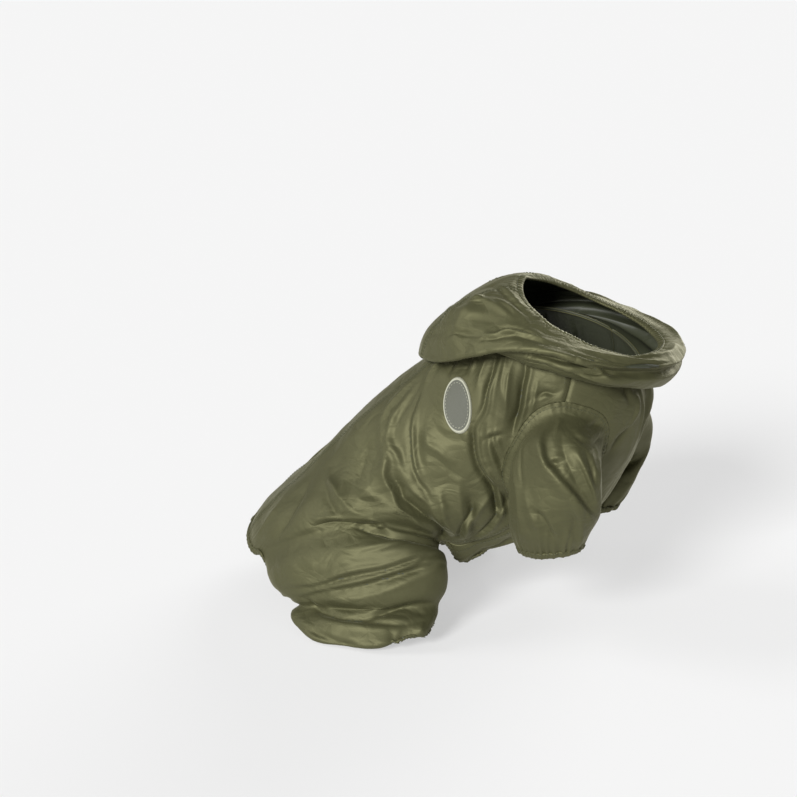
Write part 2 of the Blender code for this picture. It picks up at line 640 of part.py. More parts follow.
def main():
    for thing in list(bpy.data.objects):
        bpy.data.objects.remove(thing)
    cloth = material("cloth", OLIVE, 0.45)
    patch_face = material("patch_face", GREY, 0.5)

    belly_points = folded(belly_grid(), False, BELLY_FOLDS, ("top", "first", "last"))
    belly_points = gathered(belly_points, False, towards(BELLY_ROWS, True, BELLY_GATHER_REACH, GATHER))
    belly = wall("belly", belly_points, False, cloth)
    for name, mirrored, side_folds, sleeve_rings, sleeve_folds, leg_folds in (
        ("right", False, SIDE_RIGHT_FOLDS, SLEEVE_RIGHT, SLEEVE_RIGHT_FOLDS, LEG_RIGHT_FOLDS),
        ("left", True, SIDE_LEFT_FOLDS, SLEEVE_LEFT, SLEEVE_LEFT_FOLDS, LEG_LEFT_FOLDS),
    ):
        cutter = armhole_cutter(f"armhole_{name}", mirrored)
        side_points = side_panel(side_folds, flat=not mirrored)
        side = wall(f"side_{name}", side_points, False, cloth, mirrored)
        cut(side, cutter)
        cut(belly, cutter)
        if not mirrored:
            patch(side_points, patch_face)
        sleeve = folded(sleeve_grid(sleeve_rings), True, sleeve_folds, ("top",))
        sleeve = gathered(sleeve, True, towards(SLEEVE_ROWS, True, CUFF_GATHER_REACH, GATHER))
        wall(f"sleeve_{name}", sleeve, True, cloth, mirrored)
        wall(f"leg_{name}", trouser_leg(leg_folds), True, cloth, mirrored)

    seam = 180 - HOOD_STRIP
    for name, first, last, count, mirrored, folds in (
        ("hood_right", HOOD_GAP, seam - HOOD_GAP, HOOD_SIDE_COLUMNS, False, HOOD_RIGHT_FOLDS),
        ("hood_centre", seam + HOOD_GAP, 360 - seam - HOOD_GAP, HOOD_STRIP_COLUMNS, False, ()),
        ("hood_left", HOOD_GAP, seam - HOOD_GAP, HOOD_SIDE_COLUMNS, True, HOOD_LEFT_FOLDS),
    ):
        points = folded(hood_grid(first, last, count), False, folds, ("first", "last"))
        points = gathered(points, False, towards(HOOD_ROWS, False, HOOD_GATHER_REACH, GATHER))
        wall(name, points, False, cloth, mirrored)


main()
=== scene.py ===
"""The dressed model of a small dog's full-body raincoat.

Every piece of cloth is worked out in millimetres in the upright, unturned coat, from the same
sizes as its CAD solid: x runs forward, y to the wearer's left, z up from the floor. turned() then
curves the coat and moves the origin to the withers. The folds are placed by shares of the way
down and across each piece, and the sewing follows the edges of the finished pieces.
"""

import math

import bpy
import numpy as np
from mathutils import Matrix, Vector


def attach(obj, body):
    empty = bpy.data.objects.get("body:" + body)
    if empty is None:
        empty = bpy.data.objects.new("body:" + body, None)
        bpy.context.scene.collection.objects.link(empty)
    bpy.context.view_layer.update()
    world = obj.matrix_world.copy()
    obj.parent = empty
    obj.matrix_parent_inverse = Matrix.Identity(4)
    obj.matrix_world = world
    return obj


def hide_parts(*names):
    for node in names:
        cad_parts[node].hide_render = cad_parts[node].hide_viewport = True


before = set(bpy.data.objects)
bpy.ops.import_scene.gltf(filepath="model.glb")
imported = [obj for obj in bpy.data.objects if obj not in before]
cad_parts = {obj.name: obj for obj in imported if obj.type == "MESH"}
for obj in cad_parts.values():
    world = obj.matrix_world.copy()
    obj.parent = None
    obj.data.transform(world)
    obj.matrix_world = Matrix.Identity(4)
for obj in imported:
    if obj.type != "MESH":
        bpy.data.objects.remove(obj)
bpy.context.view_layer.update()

bl_info = {
    "name": "Dog Raincoat",
    "version": (1, 0, 0),
    "blender": (4, 5, 0),
    "location": "View3D > Sidebar > Raincoat",
    "description": "Makes a small dog's full-body raincoat, its sewing and its stage",
    "category": "Object",
}

MM = 0.001
WITHERS = (52.0, 0.0, 205.0)
REAR_X, FRONT_X = -110.0, 190.0
REAR_HEADING, FRONT_HEADING = 8.0, -8.0

# Grid sizes. The hip seam takes half of the side panel's columns and half of the leg's.
SIDE_ROWS, BODY_COLUMNS = 187, 240
BELLY_ROWS, BELLY_COLUMNS = 145, 161
SLEEVE_ROWS, SLEEVE_COLUMNS = 119, 256
LEG_ROWS = 101
LEG_SHIFT = 1 / 32 - 1 / BODY_COLUMNS  # its tables give shares round a grid of 32 columns
HOOD_ROWS, HOOD_COLUMNS = 141, 400

RING_COLUMNS = ("along", "back_x", "back_z", "front_x", "front_z", "half_width", "side_lift", "low")
RINGS = (
    (0.00, 54, 214, 186, 187, 50, 13, 0.00),
    (0.10, 38, 197, 192, 171, 59, 12, 0.00),
    (0.20, 20, 181, 190, 150, 66, 9, 0.00),
    (0.32, -3, 162, 178, 115, 70, 5, -0.04),
    (0.44, -26, 140, 150, 72, 72, 4, -0.10),
    (0.56, -49, 115, 110, 52, 76, 8, -0.06),
    (0.68, -72, 91, 68, 48, 81, 18, 0.04),
    (0.80, -93, 71, 6, 38, 84, 14, 0.04),
    (0.91, -109, 54, -42, 24, 72, 7, 0.00),
    (1.00, -119, 38, -64, 14, 57, 0, 0.00),
)
RING_FULLNESS = 2.1

EDGE_COLUMNS = ("around", "along")
EDGE = (
    (0, 1.00), (30, 1.00), (58, 1.00), (70, 0.985), (80, 0.93), (90, 0.82), (99, 0.74),
    (112, 0.69), (128, 0.68), (144, 0.695), (160, 0.62), (180, 0.59),
)
HIP_BACK, HIP_FRONT = 72.0, 144.0

SEAM_COLUMNS = ("down", "around")
SEAM = ((0.0, 114), (0.25, 116), (0.55, 122), (0.8, 136), (1.0, 144))

ARMHOLE_ALONG, ARMHOLE_AROUND = 0.28, 125.0
ARMHOLE_HALF_ALONG, ARMHOLE_HALF_AROUND = 0.13, 24.0
ARMHOLE_FULLNESS = 2.6
ARMHOLE_BORDER = 0.25  # of its half sizes, where folds fade out
ARMHOLE_START = -15.0
FAR_SIDE = 250.0  # around the body, a place across it from the armhole

TUBE_COLUMNS = (
    "station", "front_x", "back_x", "outer_y", "inner_y", "front_z", "back_z", "outer_z", "inner_z"
)
SLEEVE_RIGHT = (
    (0.30, 185, 113, 84, 62, 128, 122, 156, 93),
    (0.60, 184, 114, 95, 57, 104, 98, 118, 84),
    (0.85, 174, 114, 91, 49, 82, 78, 84, 78),
    (1.00, 168, 119, 84, 48, 72, 66, 68, 70),
)
SLEEVE_LEFT = (
    (0.30, 176, 108, 79, 62, 122, 118, 148, 92),
    (0.60, 168, 105, 86, 57, 94, 92, 104, 80),
    (0.85, 159, 102, 85, 50, 68, 66, 72, 66),
    (1.00, 152, 105, 80, 46, 56, 50, 53, 54),
)
SHOULDER_AT, SHOULDER_FLUSH, SHOULDER_PUFF = 0.08, 6.5, 0.7  # how the sleeve leaves the body
LEG_RINGS = (
    (0.30, 65, -80, 101, 60, 52, 18, 58, 19),
    (0.52, 65, -62, 108, 62, 31, 11, 29, 15),
    (0.62, 60, -56, 106, 65, 22, 9, 19, 12),
    (0.73, 62, -61, 120, 67, 17, 6, 12, 9),
    (0.84, 61, -54, 128, 70, 13, 2, 1, 6),
    (1.00, 57, 6, 119, 76, 9, 1, 2, 3),
)
LEG_SEAM_END = 180.0
LEG_EDGE_COLUMNS = ("round", "x", "y", "z")
LEG_EDGE = ((200, -84, 57, 19), (222, -62, 60, 12), (250, -34, 58, 23), (300, 14, 49, 42))

HOOD_COLUMN_NAMES = (
    "front_x", "back_x", "half_width", "band", "z_0", "z_45", "z_90", "z_135", "z_180"
)
HOOD_RINGS = (
    (196, 98, 45, 0, 204, 208, 222, 238, 250),
    (202, 86, 52, 0, 206, 210, 224, 243, 250),
    (209, 56, 63, 0, 205, 210, 224, 237, 234),
    (214, 27, 73, 0, 202, 209, 222, 216, 208),
    (216, 20, 76, 0, 199, 206, 217, 197, 189),
    (210, 33, 68, 2, 195, 202, 213, 205, 201),
    (213, 39, 65, 8, 189, 196, 207, 209, 207),
    (202, 45, 61, 7, 179, 190, 205, 212, 211),
    (195, 50, 57, 2, 184, 195, 210, 215, 215),
)
HOOD_ANGLES = (0, 45, 90, 135, 180)
HOOD_FULLNESS = 2.2
BAND_FULL, BAND_GONE = 70.0, 110.0
HOOD_STRIP = 28.0
NECK_TUCK, NECK_DROP = 0.035, 2.0  # how the hood goes down inside the neck

# The folds, worn into each piece. height is how far a fold stands out, or sinks in if it is
# negative; left and right are its half widths on each side of its path, seen from outside and
# walking along it; lip is the share of its height that its left side turns the other way; ends
# says which ends of it fade out.
FOLD_COLUMNS = ("height", "left", "right", "lip", "ends", "path")
SIDE_RIGHT_SWELLS = (
    (3.0, 11, 11, 0, "both", ((.30, .26), (.46, .50), (.70, .60), (.97, .84))),
    (2.6, 10, 10, 0, "both", ((.34, .56), (.46, .66), (.66, .76), (.85, .86))),
    (-2.4, 10, 12, 0, "both", ((.62, .22), (.80, .40), (.97, .56))),
    (2.4, 8, 9, 0, "both", ((.10, .70), (.28, .76), (.46, .83), (.60, .91))),
    (2.0, 14, 14, 0, "both", ((.16, .22), (.45, .24), (.80, .26))),
    (-3.2, 8, 8, 0, "both", ((.45, .86), (.60, .92), (.72, .97))),
)
SIDE_RIGHT_FOLDS = (
    (1.6, 3.0, 5.5, .2, "both", ((.22, .25), (.32, .28), (.38, .31), (.42, .39), (.45, .46), (.48, .55))),
    (1.9, 2.2, 5.0, .4, "both", ((.24, .30), (.30, .34), (.38, .39), (.42, .44), (.44, .52), (.51, .64))),
    (-2.1, 1.7, 1.9, .5, "both", ((.26, .37), (.30, .41), (.35, .46), (.39, .52), (.45, .60), (.54, .69),
     (.74, .75))),
    (1.8, 3.0, 3.4, .2, "both", ((.26, .40), (.36, .50), (.41, .56), (.48, .65), (.62, .73))),
    (2.6, 3.2, 6.0, 0, "end", ((.47, .51), (.50, .54), (.57, .63), (.77, .70), (.93, .80), (.985, .95))),
    (-4.6, 3.4, 3.4, 0, "start", ((.49, .56), (.55, .635), (.66, .69), (.80, .745), (.93, .85),
     (.985, .955))),
    (2.4, 5.0, 2.6, 0, "both", ((.48, .58), (.52, .64), (.61, .71), (.77, .765), (.93, .88))),
    (3.0, 6.5, 3.0, 0, "both", ((.60, .30), (.64, .38), (.66, .46), (.73, .58), (.86, .65), (.985, .73))),
    (-1.5, 2.4, 2.0, .6, "both", ((.66, .38), (.69, .46), (.76, .57), (.87, .63), (.97, .69))),
    (-3.4, 2.2, 2.6, .4, "start", ((.86, .58), (.90, .62), (.96, .665), (1.0, .72))),
    (-3.8, 2.2, 2.4, .5, "start", ((.02, .60), (.12, .64), (.19, .67), (.26, .70), (.31, .70), (.37, .73),
     (.45, .77), (.53, .82), (.60, .87), (.66, .90))),
    (2.2, 2.6, 3.6, 0, "both", ((.28, .73), (.36, .77), (.44, .81), (.52, .86), (.60, .91))),
    (-1.6, 1.6, 2.0, .4, "both", ((.33, .76), (.40, .80), (.48, .85), (.56, .90))),
    (-3.6, 2.2, 2.6, .4, "start", ((.02, .74), (.10, .78), (.18, .80), (.25, .82), (.35, .84), (.43, .87),
     (.52, .91))),
    (2.0, 3.0, 4.0, 0, "both", ((.04, .70), (.14, .735), (.24, .775), (.33, .80))),
    (-1.5, 2.2, 2.6, .3, "both", ((.02, .38), (.14, .41), (.20, .46))),
    (1.6, 2.4, 3.2, .2, "both", ((.03, .28), (.12, .28), (.18, .30), (.24, .36))),
    (-1.4, 2.0, 2.4, .3, "both", ((.03, .46), (.10, .49), (.17, .54))),
    (1.3, 2.4, 2.4, 0, "both", ((.02, .56), (.10, .585), (.18, .62), (.25, .66))),
    (1.5, 2.6, 3.2, 0, "both", ((.03, .66), (.11, .695), (.20, .74), (.27, .79))),
    (2.4, 4.0, 6.0, .2, "both", ((.50, .755), (.60, .78), (.72, .815), (.91, .95))),
    (-1.8, 2.6, 3.4, 0, "both", ((.58, .80), (.72, .845), (.88, .955))),
    (-1.4, 1.6, 2.0, .4, "both", ((.385, .76), (.37, .785), (.37, .82))),
    (2.0, 4.0, 5.0, 0, "both", ((.34, .55), (.37, .58), (.40, .66), (.45, .73))),
    (-1.2, 4.0, 4.0, 0, "both", ((.46, .34), (.48, .38), (.54, .45), (.61, .53))),
    (-1.6, 2.0, 2.4, .3, "both", ((.16, .99), (.20, .94), (.20, .90), (.25, .86))),
    (1.2, 3.0, 3.0, 0, "both", ((.14, .85), (.22, .87), (.32, .885))),
    (-1.0, 3.0, 3.0, 0, "both", ((.70, .30), (.80, .42), (.93, .53))),
    (1.0, 5.0, 4.0, 0, "both", ((.76, .20), (.86, .30), (.97, .36))),
    (2.0, 3.6, 2.4, 0, "both", ((.53, .724), (.66, .755), (.77, .787), (.86, .86), (.95, .95))),
    (-2.4, 2.0, 2.4, .3, "both", ((.64, .828), (.78, .841), (.88, .90), (.96, .96))),
    (2.4, 3.0, 4.0, 0, "both", ((.573, .874), (.669, .849), (.80, .87), (.90, .93))),
    (-2.4, 2.0, 2.4, .3, "both", ((.607, .925), (.703, .912), (.80, .93), (.88, .96))),
    (-4.0, 4.5, 4.5, 0, "both", ((.53, .824), (.607, .908), (.653, .96))),
)
LEG_RIGHT_SWELLS = (
    (3.4, 9, 9, 0, "both", ((.50, .64), (.55, .72), (.54, .82), (.46, .92))),
    (2.0, 9, 9, 0, "both", ((.16, .60), (.24, .72), (.22, .84), (.20, .96))),
    (-2.0, 7, 7, 0, "both", ((.20, .20), (.45, .25), (.60, .30))),
    (2.0, 8, 8, 0, "both", ((.20, .34), (.45, .38), (.62, .42))),
    (2.6, 9, 5, 0, "both", ((.70, .56), (.80, .60), (.92, .63), (1.0, .64))),
    (-2.6, 6, 8, 0, "both", ((.76, .62), (.86, .67), (1.0, .71))),
    (2.8, 8, 5, 0, "both", ((.76, .70), (.86, .74), (1.0, .76))),
    (-2.2, 6, 9, 0, "both", ((.74, .80), (.86, .82), (1.0, .84))),
    (2.6, 9, 6, 0, "both", ((.74, .88), (.86, .90), (1.0, .92))),
    (-2.4, 7, 7, 0, "both", ((.72, .46), (.84, .48), (1.0, .50))),
)
LEG_RIGHT_FOLDS = (
    (-3.6, 2.2, 2.6, .4, "end", ((.0, .66), (.05, .69), (.08, .72), (.14, .78), (.15, .85), (.13, .93),
     (.11, 1.0), (.10, 1.05))),
    (-1.3, 1.8, 2.4, .3, "both", ((.30, .73), (.27, .77), (.23, .80), (.17, .84), (.14, .90))),
    (-2.6, 1.5, 1.7, .5, "both", ((.38, .52), (.41, .58), (.43, .64), (.405, .71), (.39, .78), (.35, .83),
     (.28, .89), (.22, .96))),
    (1.4, 2.6, 2.2, 0, "both", ((.45, .58), (.45, .64), (.43, .71), (.41, .78), (.37, .84), (.30, .91))),
    (-2.6, 1.5, 1.7, .5, "both", ((.48, .55), (.48, .60), (.465, .65), (.455, .72), (.42, .80),
     (.37, .87), (.33, .93), (.31, 1.0))),
    (-1.8, 1.4, 1.6, .5, "both", ((.45, .74), (.43, .77), (.38, .84), (.31, .88), (.25, .93))),
    (1.3, 2.4, 3.0, 0, "both", ((.52, .62), (.505, .70), (.47, .79), (.42, .86), (.38, .94))),
    (-1.0, 1.8, 2.4, .3, "both", ((.50, .68), (.49, .74), (.46, .80))),
    (-3.4, 2.2, 2.2, .3, "both", ((.46, .56), (.52, .59), (.62, .605), (.665, .65), (.69, .71),
     (.68, .75), (.63, .80), (.585, .86), (.60, .92))),
    (2.4, 3.0, 4.0, 0, "both", ((.68, .62), (.72, .67), (.74, .74), (.745, .80))),
    (-2.4, 1.8, 2.2, .4, "both", ((.69, .72), (.71, .77), (.73, .82), (.74, .86))),
    (-1.5, 2.0, 2.4, .3, "both", ((.77, .55), (.78, .59), (.80, .65), (.83, .70), (.86, .74))),
    (1.8, 3.0, 4.0, 0, "both", ((.80, .60), (.84, .66), (.88, .72))),
    (-1.2, 2.0, 2.0, .3, "both", ((.62, .82), (.66, .86), (.70, .92))),
    (1.2, 3.0, 3.0, 0, "both", ((.58, .70), (.60, .76), (.58, .82))),
    (-1.6, 2.4, 2.6, .3, "both", ((.52, 1.02), (.56, 1.10), (.54, 1.20))),
    (1.6, 3.0, 3.4, .2, "both", ((.30, 1.04), (.36, 1.12), (.40, 1.24), (.42, 1.34))),
    (-1.6, 2.4, 2.6, .3, "both", ((.50, .30), (.56, .38), (.60, .46))),
    (-1.4, 2.0, 2.0, .3, "both", ((.40, .40), (.46, .46), (.50, .53))),
)
BELLY_SWELLS = (
    (4.0, 9, 9, 0, "start", ((.80, .10), (.92, .11), (1.0, .11))),
    (4.0, 9, 9, 0, "start", ((.80, .90), (.92, .89), (1.0, .89))),
    (-3.0, 7, 7, 0, "start", ((.72, .20), (.86, .26), (1.0, .30))),
    (-3.0, 7, 7, 0, "start", ((.70, .72), (.86, .70), (1.0, .68))),
    (3.0, 7, 7, 0, "start", ((.60, .40), (.80, .46), (1.0, .44))),
)
BELLY_FOLDS = (
    (-2.2, 2.4, 2.6, .3, "both", ((.42, .26), (.38, .30), (.31, .37))),
    (1.8, 2.6, 3.0, 0, "both", ((.10, .36), (.17, .39), (.25, .385), (.33, .36))),
    (-1.6, 2.2, 2.4, .3, "both", ((.02, .30), (.10, .31), (.20, .33))),
    (1.6, 2.4, 3.0, .2, "both", ((.01, .42), (.14, .43), (.36, .45), (.52, .44))),
    (-1.8, 2.4, 2.6, .3, "both", ((.01, .50), (.12, .51), (.30, .52), (.46, .50))),
    (1.6, 2.6, 3.0, .2, "both", ((.01, .58), (.16, .58), (.34, .56))),
    (-1.6, 2.2, 2.4, .3, "both", ((.02, .70), (.12, .69), (.28, .67))),
    (2.0, 2.8, 3.2, .2, "both", ((.60, .16), (.74, .18), (.90, .15), (1.0, .14))),
    (-2.0, 2.2, 2.6, .3, "start", ((.66, .10), (.80, .12), (.92, .11), (1.0, .10))),
    (-2.0, 2.2, 2.6, .3, "start", ((.64, .90), (.80, .88), (.92, .89), (1.0, .90))),
    (1.6, 2.8, 3.2, .2, "both", ((.56, .56), (.72, .58), (.94, .56))),
    (-1.6, 2.4, 2.6, .3, "both", ((.54, .50), (.70, .52), (.90, .50))),
)
SLEEVE_RIGHT_SWELLS = (
    (4.0, 6.0, 9.0, 0, "both", ((.14, .90), (.30, .95), (.44, 1.0), (.58, 1.09), (.74, 1.22))),
    (-3.4, 6.0, 5.0, 0, "both", ((.22, 1.02), (.36, 1.05), (.50, 1.11), (.64, 1.21))),
    (2.2, 6, 6, 0, "both", ((.16, .80), (.45, .86), (.88, .92))),
    (2.2, 6, 6, 0, "both", ((.30, .60), (.60, .66), (.88, .70))),
    (-2.6, 7, 7, 0, "both", ((.30, .36), (.56, .38), (.88, .42))),
)
SLEEVE_RIGHT_FOLDS = (
    (2.6, 2.0, 5.0, .5, "both", ((.19, .945), (.23, .95), (.33, .97), (.42, .995), (.45, 1.015),
     (.50, 1.05), (.56, 1.10), (.62, 1.15), (.67, 1.22), (.72, 1.27))),
    (-2.0, 1.6, 1.8, .4, "both", ((.445, .99), (.43, 1.01), (.41, 1.04), (.40, 1.06))),
    (-2.4, 2.0, 2.4, .4, "both", ((.20, 1.04), (.23, 1.07), (.24, 1.10), (.22, 1.14), (.14, 1.19),
     (.08, 1.23))),
    (-1.5, 1.6, 2.0, .4, "both", ((.16, 1.07), (.14, 1.10), (.09, 1.13), (.05, 1.15))),
    (-1.8, 2.2, 2.6, .4, "both", ((.62, .93), (.67, .96), (.71, 1.0), (.82, 1.05), (.90, 1.08))),
    (1.8, 2.6, 3.0, 0, "both", ((.30, 1.08), (.36, 1.12), (.46, 1.18), (.56, 1.24))),
    (-1.4, 1.8, 2.2, .3, "both", ((.27, 1.11), (.34, 1.155), (.43, 1.20))),
    (1.6, 2.4, 2.8, 0, "both", ((.20, 1.16), (.29, 1.20), (.39, 1.23))),
    (1.6, 2.6, 4.0, .3, "both", ((.50, .90), (.62, .93), (.76, .98), (.90, 1.01))),
    (-1.4, 2.0, 2.4, .3, "both", ((.24, .86), (.40, .89), (.56, .91))),
    (1.2, 2.6, 3.0, 0, "both", ((.12, .98), (.20, .995), (.28, 1.01))),
    (-1.2, 2.0, 2.4, .3, "both", ((.60, 1.08), (.70, 1.12), (.84, 1.15))),
    (1.4, 2.4, 3.0, 0, "both", ((.66, 1.14), (.78, 1.18), (.90, 1.20))),
    (-1.6, 2.0, 2.4, .3, "both", ((.30, .70), (.50, .74), (.76, .78))),
    (1.6, 2.8, 3.0, .2, "both", ((.20, .50), (.46, .54), (.80, .58))),
    (-1.6, 2.4, 2.6, .3, "both", ((.26, .44), (.50, .47), (.78, .50))),
    (1.6, 2.8, 3.2, .2, "both", ((.20, 1.30), (.40, 1.32), (.70, 1.34))),
)
HOOD_FOLDS = (
    (1.6, 1.8, 2.6, .4, "both", ((.33, .20), (.31, .21), (.27, .22), (.26, .26), (.27, .28))),
    (-1.5, 1.6, 1.8, .4, "both", ((.36, .19), (.34, .215), (.28, .235), (.30, .26), (.34, .28))),
    (1.4, 2.0, 2.6, .3, "both", ((.20, .11), (.17, .13), (.155, .18), (.17, .21))),
    (-1.4, 1.8, 2.2, .3, "both", ((.18, .01), (.16, .03), (.14, .08), (.13, .135), (.14, .19))),
    (1.6, 2.0, 3.0, .3, "both", ((.24, .05), (.21, .09), (.19, .15), (.20, .20))),
    (-1.2, 1.6, 2.0, .4, "both", ((.36, .05), (.34, .09), (.32, .15), (.32, .20))),
    (-1.8, 1.8, 2.2, .4, "both", ((.72, .275), (.70, .28), (.67, .305), (.64, .33), (.60, .37))),
    (1.6, 2.2, 3.0, .3, "both", ((.44, .29), (.46, .315), (.61, .345), (.67, .365), (.69, .40))),
    (-1.5, 1.8, 2.2, .3, "both", ((.40, .28), (.39, .31), (.39, .345), (.42, .40), (.44, .45))),
    (1.6, 2.2, 3.0, .3, "both", ((.22, .30), (.24, .34), (.28, .40), (.31, .46))),
    (-1.4, 1.8, 2.2, .3, "both", ((.28, .30), (.31, .35), (.34, .41), (.36, .48))),
    (1.4, 2.2, 2.8, .3, "both", ((.10, .36), (.16, .40), (.20, .47), (.20, .54))),
    (1.6, 2.0, 3.0, .3, "both", ((.24, .94), (.21, .90), (.19, .85), (.20, .80))),
    (-1.4, 1.8, 2.2, .3, "both", ((.18, .99), (.16, .96), (.14, .91), (.13, .865))),
    (1.6, 2.2, 3.0, .3, "both", ((.33, .80), (.29, .78), (.26, .75), (.28, .71))),
    (-1.5, 1.8, 2.2, .3, "both", ((.42, .72), (.40, .67), (.42, .62), (.44, .55))),
    (1.6, 2.2, 3.0, .3, "both", ((.22, .70), (.26, .65), (.30, .60), (.31, .54))),
    (-1.2, 1.6, 2.0, .4, "both", ((.36, .95), (.34, .91), (.32, .85), (.32, .80))),
    (1.8, 2.0, 2.0, 0, "both", ((.45, .01), (.445, .10), (.45, .20), (.45, .30), (.45, .42))),
    (1.8, 2.0, 2.0, 0, "both", ((.45, .99), (.445, .90), (.45, .80), (.45, .70), (.45, .58))),
    (2.0, 3.0, 2.0, .2, "both", ((.60, .20), (.64, .25), (.68, .32), (.70, .40))),
    (-1.8, 1.8, 2.2, .3, "both", ((.66, .22), (.70, .27), (.73, .34), (.74, .42))),
    (1.6, 2.2, 2.6, .2, "both", ((.72, .20), (.77, .26), (.80, .33), (.80, .40))),
    (1.8, 7.0, 9.0, 0, "both", ((.24, .01), (.27, .06), (.26, .12), (.22, .17))),
    (1.6, 7.0, 8.0, 0, "both", ((.12, .06), (.20, .10), (.33, .15), (.42, .18))),
)
SIDE_LEFT_SWELLS = (
    (4.6, 9, 9, 0, "both", ((.25, .22), (.50, .55), (.97, .86))),
    (-3.6, 7, 7, 0, "both", ((.36, .48), (.55, .70), (.90, .88))),
    (4.4, 8, 8, 0, "both", ((.20, .52), (.42, .66), (.80, .76))),
    (3.6, 9, 9, 0, "both", ((.55, .30), (.78, .54), (.97, .76))),
    (-2.4, 12, 12, 0, "both", ((.70, .22), (.84, .38), (.95, .54))),
)
SIDE_LEFT_FOLDS = (
    (-3.2, 2.2, 2.4, .5, "start", ((.02, .61), (.14, .66), (.28, .72), (.42, .78), (.56, .86), (.64, .90))),
    (2.0, 2.6, 3.4, .3, "both", ((.20, .30), (.32, .40), (.42, .52), (.52, .66))),
    (-2.0, 1.8, 2.0, .5, "both", ((.24, .38), (.36, .50), (.48, .64), (.70, .74))),
    (2.4, 3.0, 5.0, .2, "both", ((.44, .46), (.58, .60), (.78, .70), (.94, .86))),
    (-3.4, 3.0, 3.2, 0, "both", ((.46, .52), (.60, .66), (.80, .76), (.94, .88))),
    (2.2, 4.0, 2.6, .2, "both", ((.60, .36), (.72, .50), (.86, .62), (.97, .72))),
    (-3.0, 2.2, 2.6, .4, "start", ((.84, .56), (.90, .62), (.96, .67), (1.0, .72))),
    (-3.0, 2.2, 2.6, .4, "start", ((.02, .75), (.14, .79), (.28, .83), (.44, .88))),
    (1.6, 2.4, 3.0, .2, "both", ((.03, .27), (.12, .28), (.24, .35))),
    (-1.5, 2.2, 2.6, .3, "both", ((.02, .40), (.12, .43), (.21, .48))),
    (1.4, 2.4, 2.8, .2, "both", ((.02, .52), (.12, .56), (.24, .62))),
    (-1.4, 2.0, 2.4, .3, "both", ((.30, .56), (.40, .64), (.50, .70))),
    (1.6, 3.0, 4.0, .2, "both", ((.56, .80), (.70, .84), (.88, .95))),
)
LEG_LEFT_SWELLS = (
    (3.0, 8, 8, 0, "both", ((.50, .62), (.55, .74), (.48, .90))),
    (2.4, 8, 8, 0, "both", ((.16, .62), (.26, .74), (.18, .90))),
    (2.4, 9, 5, 0, "both", ((.72, .55), (.82, .59), (1.0, .62))),
    (-2.6, 6, 8, 0, "both", ((.76, .64), (.86, .68), (1.0, .70))),
    (2.6, 8, 6, 0, "both", ((.74, .74), (.86, .78), (1.0, .80))),
    (-2.2, 6, 9, 0, "both", ((.74, .86), (.86, .88), (1.0, .90))),
    (-2.4, 7, 7, 0, "both", ((.72, .44), (.84, .46), (1.0, .48))),
)
LEG_LEFT_FOLDS = (
    (-3.2, 2.2, 2.6, .4, "end", ((.0, .66), (.06, .70), (.13, .78), (.14, .86), (.11, .95), (.10, 1.03))),
    (-2.4, 1.6, 1.8, .5, "both", ((.34, .53), (.38, .60), (.41, .70), (.36, .80), (.28, .90))),
    (-2.4, 1.6, 1.8, .5, "both", ((.46, .54), (.49, .62), (.48, .72), (.42, .84), (.36, .95))),
    (1.5, 2.4, 2.6, .2, "both", ((.42, .58), (.45, .66), (.43, .76), (.38, .86))),
    (-3.0, 2.2, 2.2, .3, "both", ((.50, .56), (.62, .61), (.68, .70), (.64, .80), (.60, .90))),
    (2.0, 3.0, 4.0, .2, "both", ((.70, .60), (.74, .70), (.74, .82))),
    (-1.6, 2.0, 2.4, .3, "both", ((.78, .56), (.81, .64), (.85, .72))),
    (1.6, 3.0, 3.4, .2, "both", ((.30, 1.04), (.40, 1.16), (.44, 1.30))),
)
SLEEVE_LEFT_SWELLS = (
    (4.4, 7, 8, 0, "both", ((.14, .90), (.40, 1.02), (.80, 1.16))),
    (-3.6, 6, 6, 0, "both", ((.18, 1.02), (.50, 1.14), (.74, 1.24))),
    (2.4, 6, 6, 0, "both", ((.14, .78), (.50, .84), (.90, .90))),
    (2.4, 6, 6, 0, "both", ((.40, 1.26), (.60, 1.30), (.88, 1.34))),
    (-2.4, 7, 7, 0, "both", ((.30, .60), (.60, .64), (.88, .70))),
)
SLEEVE_LEFT_FOLDS = (
    (2.2, 2.2, 4.4, .4, "both", ((.18, .93), (.32, .98), (.46, 1.04), (.60, 1.12), (.72, 1.20))),
    (-2.0, 2.0, 2.4, .4, "both", ((.16, 1.05), (.22, 1.10), (.20, 1.16), (.12, 1.22))),
    (-1.6, 2.0, 2.4, .3, "both", ((.56, .94), (.70, 1.0), (.86, 1.05))),
    (1.6, 2.4, 3.0, .2, "both", ((.28, 1.10), (.42, 1.18), (.56, 1.26))),
    (-1.6, 2.0, 2.4, .3, "both", ((.24, .84), (.44, .88), (.66, .92))),
    (1.6, 2.6, 3.0, .2, "both", ((.20, .52), (.48, .56), (.82, .60))),
    (-1.6, 2.4, 2.6, .3, "both", ((.26, .38), (.50, .42), (.80, .46))),
)

